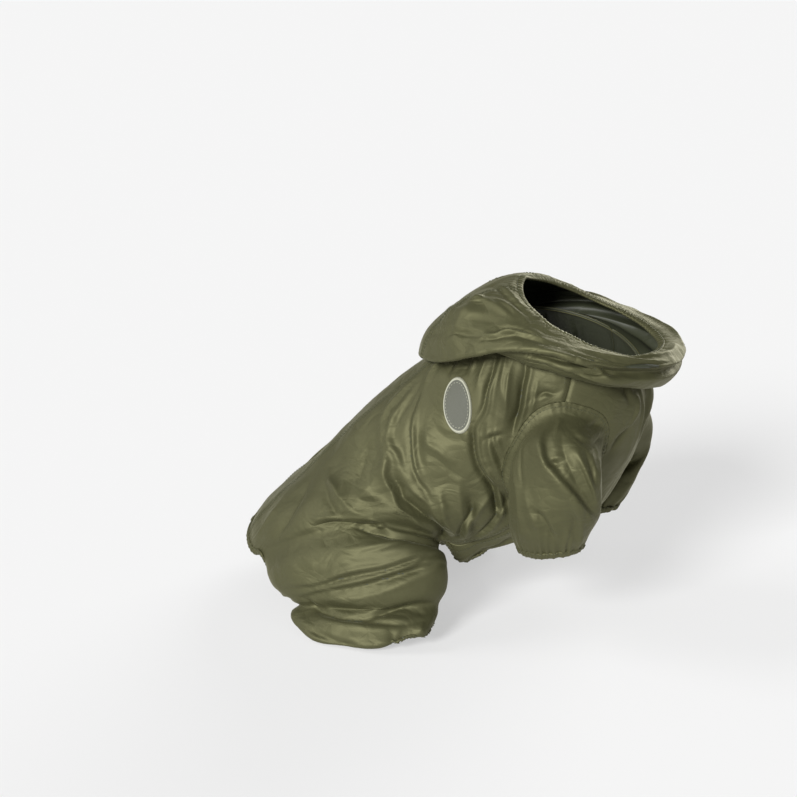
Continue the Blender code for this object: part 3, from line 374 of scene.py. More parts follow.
SEAM_DEPTH, SEAM_WIDTH = 1.1, 1.8
EDGE_PASSES = 14  # how often an edge is evened out before its casing follows it
EVEN_PASSES = 1  # how often the folded cloth is evened out
FORM_PASSES, HOOD_PASSES = 6, 5  # how often the plain form is evened out before it is folded
HIP_PASSES = 110  # how often the cloth beside the hip seam is evened out
HIP_ABOVE, HIP_BELOW = 0.115, 0.26  # how far from the hip seam, in shares of the side panel and leg
HIP_FROM, HIP_OVER = 64, 14  # where along the hip seam this sets in, and over how much, in degrees
NECK_FADE, ROOT_FADE = 0.05, 0.06  # shares of a piece over which its folds fade out at a seam
SIDE_FADE, BELLY_FADE = 9, 8  # degrees over which they fade out beside the side seam
CASING_SIDES, CASING_FULLNESS = 12, 2.6  # of a casing's cross-section
CASING_STEP, CASING_FACE = 0.5, 1.1  # along a casing and round it
CASING_SEWN_AT, CASING_SEWN_UP = 0.80, 0.62  # of its width, and off the cloth
SEAM_LIFT = 0.1  # of a row of stitches off the cloth
LOBE_AROUND, LOBE_MOVE, LOBE_REACH = 151.0, (-3.0, -2.0, -15.0), 11.0  # how the belly's edge hangs
CRISP, BROAD = 1.2, 1.25  # how sharply a height falls off beside the path of a fold or a swell
LEAST_WIDTH = 1.7  # of a fold, so that the grid can carry it
FOLD_STEPS = 90  # along a fold's path
FOLD_REACH = 3.6  # times a fold's width, past which it is left out
FOLD_FADE = 0.35  # of a fold's length, over which an end fades out
SIDE_DEPTH, LEG_DEPTH, HOOD_DEPTH = 1.4, 1.0, 1.6  # times the heights in the tables
FACET_WAVES = 10  # crossing each other in a swell

PATCH_DOWN, PATCH_ACROSS = 0.255, 0.597
PATCH_HALF_WIDE, PATCH_HALF_TALL = 12.0, 20.5
PATCH_TURN = 47.0
PATCH_FLAT = 24.0  # how far round the patch the cloth lies smooth
PATCH_RINGS, PATCH_COLUMNS = 26, 120
PATCH_LIFT = 1.5  # of its face off the cloth
PATCH_SEWN_AT, PATCH_RIM, PATCH_EDGE_AT = 0.80, 0.88, (0.885, 0.905)  # of the way out to its edge


# The sizes and colours that a user may change.

class RaincoatSizes(bpy.types.PropertyGroup):
    """The coat's sewing sizes."""

    cloth: bpy.props.FloatProperty(
        name="Cloth", description="Thickness of the coated cloth", default=0.0009, unit="LENGTH")
    hem_width: bpy.props.FloatProperty(
        name="Hem Width", description="Width of the elastic casings", default=0.0055, unit="LENGTH")
    hem_pleat: bpy.props.FloatProperty(
        name="Hem Pleat", description="Spacing of the small pleats in a casing",
        default=0.0026, unit="LENGTH")
    gather_pleat: bpy.props.FloatProperty(
        name="Gather Pleat", description="Spacing of the gathers above a casing",
        default=0.0052, unit="LENGTH")
    stitch: bpy.props.FloatProperty(
        name="Stitch", description="Length of one stitch", default=0.0021, unit="LENGTH")
    stitch_pitch: bpy.props.FloatProperty(
        name="Stitch Pitch", description="Distance from one stitch to the next",
        default=0.0027, unit="LENGTH")
    thread: bpy.props.FloatProperty(
        name="Thread", description="Thickness of the sewing thread", default=0.00045, unit="LENGTH")


class RaincoatColours(bpy.types.PropertyGroup):
    """The coat's colours."""

    cloth: bpy.props.FloatVectorProperty(
        name="Cloth", description="The outside of the coat", subtype="COLOR", size=4,
        default=(0.067, 0.067, 0.032, 1))
    lining: bpy.props.FloatVectorProperty(
        name="Coating", description="The coated inside of the cloth", subtype="COLOR", size=4,
        default=(0.034, 0.038, 0.020, 1))
    thread: bpy.props.FloatVectorProperty(
        name="Thread", description="The coat's sewing thread", subtype="COLOR", size=4,
        default=(0.058, 0.062, 0.028, 1))
    patch: bpy.props.FloatVectorProperty(
        name="Patch", description="The middle of the oval patch", subtype="COLOR", size=4,
        default=(0.078, 0.081, 0.060, 1))
    patch_edge: bpy.props.FloatVectorProperty(
        name="Patch Edge", description="The patch's edge and its stitches", subtype="COLOR", size=4,
        default=(0.36, 0.36, 0.28, 1))
    floor: bpy.props.FloatVectorProperty(
        name="Floor", description="The floor and the backdrop", subtype="COLOR", size=4,
        default=(0.36, 0.36, 0.36, 1))


# Working out the coat's form.

def table(names, rows):
    """The columns of a table, by name."""
    return dict(zip(names, np.array(rows, float).T, strict=True))


def through(stations, values, at):
    """A smooth curve through values at the stations, read at at."""
    x, y = np.asarray(stations, float), np.asarray(values, float)
    rise = (y[1:] - y[:-1]).T / (x[1:] - x[:-1])
    slope = np.gradient(y, x, axis=0)
    slope[0], slope[-1] = rise.T[0], rise.T[-1]
    at = np.clip(np.asarray(at, float), x[0], x[-1])
    i = np.clip(np.searchsorted(x, at) - 1, 0, len(x) - 2)
    h = x[i + 1] - x[i]
    t = (at - x[i]) / h
    if y.ndim > 1:
        h, t = h[:, None, None], t[:, None, None]
    start = (1 + 2 * t) * (1 - t) ** 2 * y[i] + t * (1 - t) ** 2 * h * slope[i]
    return start + t * t * (3 - 2 * t) * y[i + 1] - t * t * (1 - t) * h * slope[i + 1]


def unit(vectors):
    """The same directions, one long each."""
    return vectors / np.maximum(np.linalg.norm(vectors, axis=-1, keepdims=True), 1e-9)


def length_along(line):
    """How far along a line each of its points is."""
    return np.concatenate([[0], np.cumsum(np.linalg.norm(np.diff(line, axis=0), axis=1))])


def rising(value, over):
    """0 for values below 0, rising to 1 for those past a width."""
    return np.clip(value / over, 0, 1)


def shares_down(rows, columns):
    """The share of the way down a grid at each of its points."""
    return np.linspace(0, 1, rows)[:, None] * np.ones(columns)


def rounded(angle, fullness):
    """The cosine and sine of a round or squarish ring, at an angle in degrees."""
    c, s = np.cos(np.radians(angle)), np.sin(np.radians(angle))
    power = 2 / fullness
    return np.sign(c) * np.abs(c) ** power, np.sign(s) * np.abs(s) ** power


def turned(points):
    """Curves the straight coat along an arc, and moves the origin to the withers."""
    reach = np.linspace(-200, 300, 501)
    heading = np.radians(np.interp(reach, [REAR_X, FRONT_X], [REAR_HEADING, FRONT_HEADING]))
    step = reach[1] - reach[0]
    line_x, line_y = np.cumsum(np.cos(heading)) * step, np.cumsum(np.sin(heading)) * step
    x, y, z = np.moveaxis(np.asarray(points, float), -1, 0)
    here = np.interp(x, reach, heading)
    at_x = np.interp(x, reach, line_x) - np.interp(WITHERS[0], reach, line_x)
    at_y = np.interp(x, reach, line_y) - np.interp(WITHERS[0], reach, line_y)
    return np.stack([at_x - y * np.sin(here), at_y + y * np.cos(here), z - WITHERS[2]], -1)


def body(along, around):
    """Points on the body, right side for 0 to 180 degrees around, left side for 180 to 360."""
    ring = table(RING_COLUMNS, RINGS)
    back_x, back_z, front_x, front_z, half_width, side_lift, low = (
        through(ring["along"], ring[name], along) for name in RING_COLUMNS[1:]
    )
    high, wide = rounded(around, RING_FULLNESS)
    half_x, half_z = (back_x - front_x) / 2, (back_z - front_z) / 2
    lift = side_lift * wide ** 2 / np.hypot(half_x, half_z)
    x = (back_x + front_x) / 2 + half_x * high + lift * half_z
    y = -half_width * wide * (1 - low * high)
    z = (back_z + front_z) / 2 + half_z * high - lift * half_x
    return np.stack([x, y, z], -1)


def edge_along(around):
    """How far down the body its cut edge lies."""
    edge = table(EDGE_COLUMNS, EDGE)
    folded = 180 - np.abs(180 - np.mod(around, 360))
    return np.minimum(through(edge["around"], edge["along"], folded), 1)


def armhole(grow, count):
    """Where the armhole's oval lies, from its top, forward and round, in along and around."""
    angle = np.linspace(0, 360, count, endpoint=False) + ARMHOLE_START
    c, s = rounded(angle, ARMHOLE_FULLNESS)
    return ARMHOLE_ALONG - ARMHOLE_HALF_ALONG * grow * c, ARMHOLE_AROUND + ARMHOLE_HALF_AROUND * grow * s


def from_armhole(along, around):
    """How far places lie from the middle of the armhole, in its half sizes."""
    return (along - ARMHOLE_ALONG) / ARMHOLE_HALF_ALONG, (around - ARMHOLE_AROUND) / ARMHOLE_HALF_AROUND


def off_armhole(along, around):
    """0 at the armhole's edge, rising to 1 where the cloth is free of it."""
    return rising(np.hypot(*from_armhole(along, around)) - 1, ARMHOLE_BORDER)


def tube_ring(row, count):
    """One oval ring of a tube, from its front, out and round, in rows of x, y, z."""
    ring = dict(zip(TUBE_COLUMNS, row, strict=True))
    angle = np.radians(np.linspace(0, 360, count, endpoint=False))
    x = (ring["front_x"] + ring["back_x"]) / 2 + (ring["front_x"] - ring["back_x"]) / 2 * np.cos(angle)
    y = -(ring["outer_y"] + ring["inner_y"]) / 2 - (ring["outer_y"] - ring["inner_y"]) / 2 * np.sin(angle)
    ends = (ring["front_z"] + ring["back_z"]) / 2
    sides = (ring["outer_z"] + ring["inner_z"]) / 2
    z = (ends + sides) / 2 + (ring["front_z"] - ring["back_z"]) / 2 * np.cos(angle)
    z += (ring["outer_z"] - ring["inner_z"]) / 2 * np.sin(angle) + (ends - sides) / 2 * np.cos(2 * angle)
    return np.stack([x, y, z], -1)


def sleeve_grid(rings):
    """A sleeve, from the armhole to the cuff."""
    along, around = armhole(1.0, SLEEVE_COLUMNS)
    quarter = SLEEVE_COLUMNS // 4
    rows = [np.roll(tube_ring(row, SLEEVE_COLUMNS)[::-1], quarter + 1, axis=0) for row in rings]
    root, inner = body(along, around), body(*armhole(0.9, SLEEVE_COLUMNS))
    into = unit(inner - root)
    out = np.cross(np.gradient(root, axis=0), into)
    within = body(np.array([ARMHOLE_ALONG]), np.array([FAR_SIDE]))
    out = unit(out * np.sign((out * (root - within)).sum(axis=1, keepdims=True)))
    angle = np.linspace(0, 360, SLEEVE_COLUMNS, endpoint=False) + ARMHOLE_START
    top = ((1 + np.cos(np.radians(angle))) / 2)[:, None]
    start = root + into * (SHOULDER_FLUSH * top + 1.0) + out * (SHOULDER_PUFF + 2.6 * (1 - top))
    stations = np.array([0.0, SHOULDER_AT] + [row[0] for row in rings])
    return through(stations, np.array([root, start] + rows), np.linspace(0, 1, SLEEVE_ROWS))


def leg_grid():
    """The right trouser leg, from the hip seam to the cuff, in the order that the seam runs."""
    round_at = np.linspace(0, 360, BODY_COLUMNS, endpoint=False)
    seam = round_at <= LEG_SEAM_END
    around = HIP_FRONT + (HIP_BACK - HIP_FRONT) * round_at[seam] / LEG_SEAM_END
    edge = table(LEG_EDGE_COLUMNS, LEG_EDGE)
    stations = np.concatenate([[LEG_SEAM_END], edge["round"], [360]])
    inside = np.stack([edge["x"], -edge["y"], edge["z"]], -1)
    ends = body(edge_along(np.array([HIP_BACK, HIP_FRONT])), np.array([HIP_BACK, HIP_FRONT]))
    points = np.concatenate([ends[:1], inside, ends[1:]])
    free = through(stations, points[:, None, :], round_at[~seam])[:, 0]
    root = np.concatenate([body(edge_along(around), around), free])
    stations = np.array([0.0] + [row[0] for row in LEG_RINGS])
    rows = np.array([root] + [tube_ring(row, BODY_COLUMNS) for row in LEG_RINGS])
    return through(stations, rows, np.linspace(0, 1, LEG_ROWS))


def hood_grid():
    """The whole hood, from its free edge to the neckline, and from the nape over the right side round."""
    ring = table(HOOD_COLUMN_NAMES, HOOD_RINGS)
    angle = 180 - np.linspace(0, 360, HOOD_COLUMNS, endpoint=False)
    folded = np.abs(angle)
    c, s = rounded(angle, HOOD_FULLNESS)
    mid, half = (ring["front_x"] + ring["back_x"]) / 2, (ring["front_x"] - ring["back_x"]) / 2
    x = mid[:, None] + half[:, None] * c
    band = np.interp(folded, [BAND_FULL, BAND_GONE], [1, 0])
    y = -(ring["half_width"][:, None] + ring["band"][:, None] * band) * s
    heights = np.array([ring[f"z_{at}"] for at in HOOD_ANGLES])
    z = np.array([through(HOOD_ANGLES, column, folded) for column in heights.T])
    neckline = body(np.zeros(HOOD_COLUMNS), 180 - angle)
    neckline += (neckline.mean(axis=0) - neckline) * NECK_TUCK + [0, 0, -NECK_DROP]
    rows = np.concatenate([np.stack([x, y, z], -1), neckline[None]])
    return through(np.arange(len(rows)), rows, np.linspace(0, len(rows) - 1, HOOD_ROWS))


# A piece of cloth and what is done to it.

class Cloth:
    """A piece of cloth: points, four-sided faces, and the grids that its paths are read from."""

    def __init__(self):
        self.points = np.zeros((0, 3))
        self.squares = np.zeros((0, 4), int)
        self.there = np.zeros(0, bool)
        self.hold = np.zeros(0)
        self.grids = {}
        self.flat = {}
        self.made = []

    @property
    def faces(self):
        """The squares that aren't cut away."""
        return self.squares[self.there]

    def add_grid(self, name, points, closed, index=None):
        """Adds a grid of points. index gives points that it shares with a grid that is there, or -1."""
        rows, columns = points.shape[:2]
        index = np.full((rows, columns), -1) if index is None else index
        new = index < 0
        index = index.copy()
        index[new] = np.arange(new.sum()) + len(self.points)
        self.points = np.concatenate([self.points, points[new]])
        self.hold = np.concatenate([self.hold, np.ones(new.sum())])
        across = np.concatenate([points, points[:, :1]], axis=1) if closed else points
        whole = np.concatenate([index, index[:, :1]], axis=1) if closed else index
        u = np.cumsum(np.linalg.norm(np.diff(across, axis=1, prepend=across[:, :1]), axis=-1), axis=1)
        u = u - u[:, [u.shape[1] // 2]]
        v = -np.cumsum(np.linalg.norm(np.diff(across, axis=0, prepend=across[:1]), axis=-1), axis=0)
        made = squares(whole)
        self.made.append((name, len(self.squares), whole))
        self.squares = np.concatenate([self.squares, made])
        self.there = np.concatenate([self.there, np.ones(len(made), bool)])
        self.flat[name] = np.stack([u, v], -1)
        self.grids[name] = (index, closed)

    def at(self, name, down, across, values=None):
        """Places on a grid, or what values hold there, by the shares of the way down it and across it."""
        index, closed = self.grids[name]
        if closed:
            index = np.concatenate([index, index[:, :1]], axis=1)
            across = np.mod(across, 1)
        rows, columns = index.shape
        v, u = np.clip(down, 0, 1) * (rows - 1), np.clip(across, 0, 1) * (columns - 1)
        i, j = np.minimum(v.astype(int), rows - 2), np.minimum(u.astype(int), columns - 2)
        v, u = (v - i)[..., None], (u - j)[..., None]
        p = self.points if values is None else values
        upper = p[index[i, j]] * (1 - u) + p[index[i, j + 1]] * u
        lower = p[index[i + 1, j]] * (1 - u) + p[index[i + 1, j + 1]] * u
        return upper * (1 - v) + lower * v

    def normals(self):
        """The outward direction at each point."""
        a, b, c, d = (self.points[self.faces[:, k]] for k in range(4))
        out = np.repeat(np.cross(c - a, d - b)[:, None], 4, axis=1)
        return unit(spread(self.faces, out, len(self.points)))

    def edges(self):
        """Each edge once, and whether it is on the border."""
        pairs = np.concatenate([self.faces[:, [k, (k + 1) % 4]] for k in range(4)])
        pairs = pairs[pairs[:, 0] != pairs[:, 1]]
        found, times = np.unique(np.sort(pairs, axis=1), axis=0, return_counts=True)
        return found, times == 1

    def relax(self, amount, passes):
        """Evens the cloth out, by an amount for each point. Its borders stay where they are."""
        edges, border = self.edges()
        amount = np.array(amount, float)
        amount[np.unique(edges[border])] = 0
        count = np.bincount(edges.ravel(), minlength=len(self.points))[:, None]
        both = np.concatenate([edges, edges[:, ::-1]])
        for _ in range(passes):
            middle = beside(both, self.points) / np.maximum(count, 1)
            self.points += (middle - self.points) * (0.5 * amount)[:, None]

    def even(self, passes):
        """Evens the whole cloth out."""
        self.relax(np.ones(len(self.points)), passes)

    def rise(self, height):
        """Moves each point outwards."""
        self.points = self.points + self.normals() * height[:, None]


def squares(index):
    """The corners of each square of a grid, outside face towards the viewer."""
    return np.stack([index[:-1, :-1], index[1:, :-1], index[1:, 1:], index[:-1, 1:]], 2).reshape(
        -1, 4, *index.shape[2:])


def beside(pairs, values):
    """Adds up the values of each point's neighbours."""
    return np.stack([np.bincount(pairs[:, 0], values[pairs[:, 1], k], len(values)) for k in range(3)], -1)


def spread(faces, values, count):
    """Adds up what the corners of the faces give to each point."""
    flat = faces.ravel()
    return np.stack([np.bincount(flat, values[..., k].ravel(), count) for k in range(values.shape[-1])], -1)


def smooth_path(path, count):
    """A smooth line through a path's places."""
    path = np.array(path, float)
    steps = length_along(path)
    at = np.linspace(0, steps[-1], count)
    return through(steps, path[:, None, :], at)[:, 0] if len(path) > 2 else np.stack(
        [np.interp(at, steps, path[:, k]) for k in (0, 1)], -1)


def fold(cloth, name, row, wobble, power, depth):
    """The height that one fold gives to each point near it."""
    fold_row = dict(zip(FOLD_COLUMNS, row, strict=True))
    left, right = (max(fold_row[way], LEAST_WIDTH) for way in ("left", "right"))
    places = smooth_path(fold_row["path"], FOLD_STEPS)
    line = cloth.at(name, places[:, 0], places[:, 1])
    length = length_along(line)
    way = unit(np.gradient(line, axis=0))
    reach = FOLD_REACH * max(left, right)
    near = np.all((cloth.points > line.min(0) - reach) & (cloth.points < line.max(0) + reach), axis=1)
    near = np.flatnonzero(near)
    points = cloth.points[near]
    away = np.linalg.norm(points[:, None] - line, axis=-1)
    nearest = away.argmin(axis=1)
    gap = points - line[nearest]
    off = away.min(axis=1)
    out = cloth.out[near]
    side = (np.cross(out, way[nearest]) * gap).sum(axis=1)
    signed = np.sign(side) * off
    wide = np.where(signed > 0, left, right)
    shape = np.exp(-np.abs(signed / wide) ** power)
    shape -= fold_row["lip"] * np.exp(-((signed - 2.0 * left) / left) ** 2)
    t = length[nearest] / length[-1]
    taper = np.ones(len(t))
    for end, share in (("start", t), ("end", 1 - t)):
        if fold_row["ends"] in ("both", end):
            taper *= np.clip(share / FOLD_FADE, 0.02, 1) ** 0.8
    taper *= 1 + 0.12 * np.sin(t * length[-1] / 12.0 + wobble)
    height = np.zeros(len(cloth.points))
    height[near] = depth * fold_row["height"] * taper * shape
    return height


def folds(cloth, name, rows, power=CRISP, depth=1.0):
    """All the folds of one table, pressed into the cloth together. A lower power makes them crisper."""
    cloth.out = cloth.normals()
    height = sum(fold(cloth, name, row, 1.7 * k, power, depth) for k, row in enumerate(rows))
    cloth.rise(height * cloth.hold)


def small_folds(cloth, name, rows, count, seed):
    """Small folds beside the placed ones, uneven in length, depth and spacing."""
    dice = np.random.default_rng(seed)
    made = []
    for _ in range(count):
        row = dict(zip(FOLD_COLUMNS, rows[dice.integers(len(rows))], strict=True))
        path = smooth_path(row["path"], 9)
        start = dice.integers(0, 5)
        stop = start + dice.integers(3, 9 - start)
        path = path[start:stop + 1] + dice.normal(0, 0.022, 2) + dice.normal(0, 0.002, (stop + 1 - start, 2))
        deep = dice.uniform(0.2, 0.7) * dice.choice([-1, 1])
        left, right, lip = dice.uniform(1.3, 2.6), dice.uniform(1.3, 3.4), dice.uniform(0, 0.4)
        made.append((deep, left, right, lip, "both", path))
    folds(cloth, name, made)


def swell(points, seed, size, depth):
    """Flat facets all over a piece, from a few bent waves with sharp crests in all directions."""
    dice = np.random.default_rng(seed)
    total = np.zeros(len(points))
    for _ in range(FACET_WAVES):
        way, drift = dice.normal(size=3), dice.normal(size=3)
        way, drift = way / np.linalg.norm(way), drift / np.linalg.norm(drift)
        bend = np.sin(points @ drift * 2 * np.pi / (2.5 * size) + dice.uniform(0, 6.28))
        turn = points @ way * 2 * np.pi / (size * dice.uniform(0.6, 1.6)) + 1.5 * bend + dice.uniform(0, 6.28)
        total += np.arcsin(np.sin(turn)) * (0.6 + 0.4 * bend)
    return total * depth / FACET_WAVES ** 0.5


def pleats(length, pitch, dice):
    """Uneven pleats along an edge: a wave, its strength and how far it runs, for each place."""
    count = max(int(length[-1] / pitch), 2)
    steps = np.cumsum(dice.uniform(0.55, 1.45, count + 1))
    steps = (steps - steps[0]) / (steps[-1] - steps[0]) * length[-1]
    turn = np.interp(length, steps, np.arange(count + 1))
    strong = np.interp(turn, np.arange(count + 1), dice.uniform(0.35, 1.25, count + 1))
    far = np.interp(turn, np.arange(count + 1), dice.uniform(0.45, 1.5, count + 1))
    return np.cos(2 * np.pi * turn), strong, far


def gather(cloth, name, at_end, columns, reach, depth, pitch, seed):
    """Gathers the cloth along the first or last row of a grid, between two of its columns."""
    index, _ = cloth.grids[name]
    rows = index[::-1] if at_end else index
    rows = rows[:, columns[0]:columns[1]]
    edge = cloth.points[rows[0]]
    wave, strong, far = pleats(length_along(edge), pitch, np.random.default_rng(seed))
    away = np.cumsum(np.linalg.norm(np.diff(cloth.points[rows], axis=0, prepend=edge[None]), axis=-1), axis=0)
    height = np.zeros(len(cloth.points))
    height[rows] = depth * wave * strong * np.exp(-(away / (reach * far)) ** 1.3)
    cloth.rise(height)


def hang(cloth, side):
    """Lets the belly's edge hang down beside one trouser leg: the right one for 1, the left one for -1."""
    around = np.array([LOBE_AROUND])
    centre = body(edge_along(around), around)[0] * [1, side, 1]
    near = np.exp(-(np.linalg.norm(cloth.points - centre, axis=1) / LOBE_REACH) ** 2)
    cloth.points = cloth.points + near[:, None] * np.array(LOBE_MOVE) * [1, side, 1]


def seam_dip(cloth, name, columns, depth, width):
    """Draws the cloth in along a seam that runs down a grid's first or last column."""
    index, _ = cloth.grids[name]
    index = index[:, ::-1] if columns < 0 else index
    points = cloth.points[index]
    away = np.cumsum(np.linalg.norm(np.diff(points, axis=1, prepend=points[:, :1]), axis=-1), axis=1)
    height = np.zeros(len(cloth.points))
    height[index] = -depth * np.exp(-(away / width) ** 2)
    cloth.rise(height)


def edge_line(cloth, name, row, columns, inner):
    """A grid row's points, outward directions and the way into the cloth."""
    index, _ = cloth.grids[name]
    out = cloth.normals()
    line, inside = index[row, columns], index[inner, columns]
    into = cloth.points[inside] - cloth.points[line]
    return cloth.points[line], out[line], into


def outer_skin(cloth):
    """The squares of the outer skin and their corners laid flat."""
    flat = np.concatenate([squares(cloth.flat[name]) for name, _, _ in cloth.made])
    return cloth.faces.tolist(), flat[cloth.there].tolist()


def inner_skin(cloth):
    """The inner skin, with four squares in one wherever all four and their neighbours allow it."""
    faces, flat = [], []
    for name, first, whole in cloth.made:
        rows, columns = whole.shape[0] - 1, whole.shape[1] - 1
        there = cloth.there[first:first + rows * columns].reshape(rows, columns)
        high, wide = rows // 2, columns // 2
        four = there[:2 * high, :2 * wide].reshape(high, 2, wide, 2).all(axis=(1, 3))
        near = np.pad(four, 1)
        if cloth.grids[name][1] and columns % 2 == 0:
            near[1:-1, 0], near[1:-1, -1] = four[:, -1], four[:, 0]
        rings = []
        for i, j in np.argwhere(four).tolist():
            top, left = 2 * i, 2 * j
            ring = [(top, left)]
            ring += [] if near[i + 1, j] else [(top + 1, left)]
            ring += [(top + 2, left)]
            ring += [] if near[i + 2, j + 1] else [(top + 2, left + 1)]
            ring += [(top + 2, left + 2)]
            ring += [] if near[i + 1, j + 2] else [(top + 1, left + 2)]
            ring += [(top, left + 2)]
            ring += [] if near[i, j + 1] else [(top, left + 1)]
            rings.append(ring)
        single = there.copy()
        single[:2 * high, :2 * wide] &= ~np.repeat(np.repeat(four, 2, axis=0), 2, axis=1)
        rings += [[(i, j), (i + 1, j), (i + 1, j + 1), (i, j + 1)] for i, j in np.argwhere(single).tolist()]
        laid = cloth.flat[name]
        for ring in rings:
            faces.append([int(whole[place]) for place in ring][::-1])
            flat.append([laid[place].tolist() for place in ring][::-1])
    return faces, flat


def thickened(cloth, thickness, blur=4):
    """Both skins of the cloth and its closed edges: points, faces, flat corners and a skin number."""
    out = cloth.normals()
    edges, border = cloth.edges()
    both = np.concatenate([edges, edges[:, ::-1]])
    for _ in range(blur):
        out = unit(out + beside(both, out) / 4)
    count = len(cloth.points)
    points = np.concatenate([cloth.points, cloth.points - out * thickness])
    outer, outer_flat = outer_skin(cloth)
    inner, inner_flat = inner_skin(cloth)
    inner = [[k + count for k in face] for face in inner]
    single = set(map(tuple, edges[border].tolist()))
    rim, rim_flat = [], []
    for face, corners in zip(outer, outer_flat):
        for k in range(4):
            p, q = face[k], face[(k + 1) % 4]
            if (min(p, q), max(p, q)) in single:
                rim.append([q, p, p + count, q + count])
                rim_flat.append([corners[(k + 1) % 4], corners[k], corners[k], corners[(k + 1) % 4]])
    skin = [0] * len(outer) + [1] * len(inner) + [0] * len(rim)
    return points, outer + inner + rim, outer_flat + inner_flat + rim_flat, skin


def plain_mesh(name, points, faces, mirrored, materials, flat=None, skin=None):
    """Makes a piece's object from points in the upright coat, in millimetres."""
    points = np.array(points, float)
    keep = []
    for n, face in enumerate(faces):
        places = list({v: k for k, v in reversed(list(enumerate(face)))}.values())[::-1]
        if len(places) > 2:
            keep.append((n, sorted(places, reverse=mirrored)))
    if mirrored:
        points[:, 1] *= -1
    corners = [[faces[n][k] for k in places] for n, places in keep]
    used = np.unique(np.concatenate([np.array(face) for face in corners]))
    number = np.zeros(len(points), int)
    number[used] = np.arange(len(used))
    number = number.tolist()
    mesh = bpy.data.meshes.new(name)
    numbered = [[number[v] for v in face] for face in corners]
    mesh.from_pydata((turned(points[used]) * MM).tolist(), [], numbered)
    for material in materials:
        mesh.materials.append(material)
    if skin is not None:
        mesh.polygons.foreach_set("material_index", [skin[n] for n, _ in keep])
    if flat is not None:
        layer = mesh.uv_layers.new(name="UVMap")
        places = [place * MM for n, order in keep for k in order for place in flat[n][k]]
        layer.data.foreach_set("uv", places)
    mesh.shade_smooth()
    piece = bpy.data.objects.new(name, mesh)
    bpy.context.scene.collection.objects.link(piece)
    return piece


def cloth_piece(name, cloth, mirrored, nodes):
    """Dresses a finished cloth as a piece that stands for its CAD nodes."""
    points, faces, corners, skin = thickened(cloth, bpy.context.scene.raincoat_sizes.cloth / MM)
    materials = [cloth_material(), fabric_material("coated_inside", "lining")]
    piece = plain_mesh(name, points, faces, mirrored, materials, corners, skin)
    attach(piece, "root")
    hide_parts(*nodes)


ON_CLOTH = {}  # the names of the pieces that lie on each cloth piece
SEWING = {}  # the lines to be sewn on each cloth piece
COAT = {}  # the finished form of each piece of cloth, which the sewing follows


def body_cloth(swells, side_folds, leg_swells, leg_folds, patched, seed):
    """The right side panel and trouser leg in one, with their folds, gathers and armhole."""
    cloth = Cloth()
    seam = table(SEAM_COLUMNS, SEAM)
    down = shares_down(SIDE_ROWS, BODY_COLUMNS + 1)
    last = through(seam["down"], seam["around"], down)
    around = np.linspace(0, 1, BODY_COLUMNS + 1) * last
    along = down * edge_along(around)
    cloth.add_grid("side", body(along, around), False)
    half = BODY_COLUMNS // 2
    shared = np.full((LEG_ROWS, BODY_COLUMNS), -1)
    shared[0, :half + 1] = cloth.grids["side"][0][-1, half:][::-1]
    cloth.add_grid("leg", leg_grid()[:, ::-1], True, shared[:, ::-1])
    side, _ = cloth.grids["side"]
    leg, _ = cloth.grids["leg"]
    near_hip = np.zeros(len(cloth.points))
    near_hip[side] = np.clip(1 - (1 - down) / HIP_ABOVE, 0, 1) * rising(around - HIP_FROM, HIP_OVER)
    leg_down = shares_down(LEG_ROWS, BODY_COLUMNS)
    near_hip[leg] = np.maximum(near_hip[leg], np.clip(1.2 - leg_down / HIP_BELOW, 0, 1))
    cloth.relax(near_hip, HIP_PASSES)
    cloth.even(FORM_PASSES)
    fade = rising(down, NECK_FADE) * rising(last - around, SIDE_FADE)
    cloth.hold[side] = fade * off_armhole(along, around)
    if patched:
        centre = cloth.at("side", np.array(PATCH_DOWN), np.array(PATCH_ACROSS))
        cloth.hold *= 1 - np.exp(-(np.linalg.norm(cloth.points - centre, axis=1) / PATCH_FLAT) ** 6)
    leg_swells, leg_folds = ([(*row[:5], [(d, a + LEG_SHIFT) for d, a in row[5]]) for row in rows]
                             for rows in (leg_swells, leg_folds))
    hang(cloth, 1)
    folds(cloth, "side", swells, BROAD)
    folds(cloth, "leg", leg_swells, BROAD)
    cloth.rise(swell(cloth.points, seed, 34, 0.45) * cloth.hold)
    folds(cloth, "side", side_folds, depth=SIDE_DEPTH)
    folds(cloth, "leg", leg_folds, depth=LEG_DEPTH)
    small_folds(cloth, "side", side_folds, 38, seed + 1)
    small_folds(cloth, "leg", leg_folds, 44, seed + 2)
    cloth.even(EVEN_PASSES)
    pleat = bpy.context.scene.raincoat_sizes.gather_pleat / MM
    seam_dip(cloth, "side", -1, SEAM_DEPTH, SEAM_WIDTH)
    gather(cloth, "side", True, (0, half + 1), 9, 0.55, pleat, seed + 3)
    gather(cloth, "leg", False, (0, half), 8, 0.5, pleat, seed + 4)
    gather(cloth, "leg", True, (0, BODY_COLUMNS), 9, 0.4, pleat, seed + 5)
    cut_armhole(cloth, side, along, around)
    return cloth


def cut_armhole(cloth, index, along, around):
    """Opens the armhole: takes out the faces inside its oval, and draws the rim onto the oval."""
    off_along, off_around = from_armhole(along, around)
    power = ARMHOLE_FULLNESS
    size = (np.abs(off_along) ** power + np.abs(off_around) ** power) ** (1 / power)
    inside = np.zeros(len(cloth.points), bool)
    inside[index[size < 1]] = True
    cloth.there &= ~inside[cloth.squares].all(axis=1)
    move = (size < 1) & (size > 0.02)
    scale = 1 / np.maximum(size[move], 0.02)
    place = body(ARMHOLE_ALONG + off_along[move] * scale * ARMHOLE_HALF_ALONG,
                 ARMHOLE_AROUND + off_around[move] * scale * ARMHOLE_HALF_AROUND)
    cloth.points[index[move]] = place


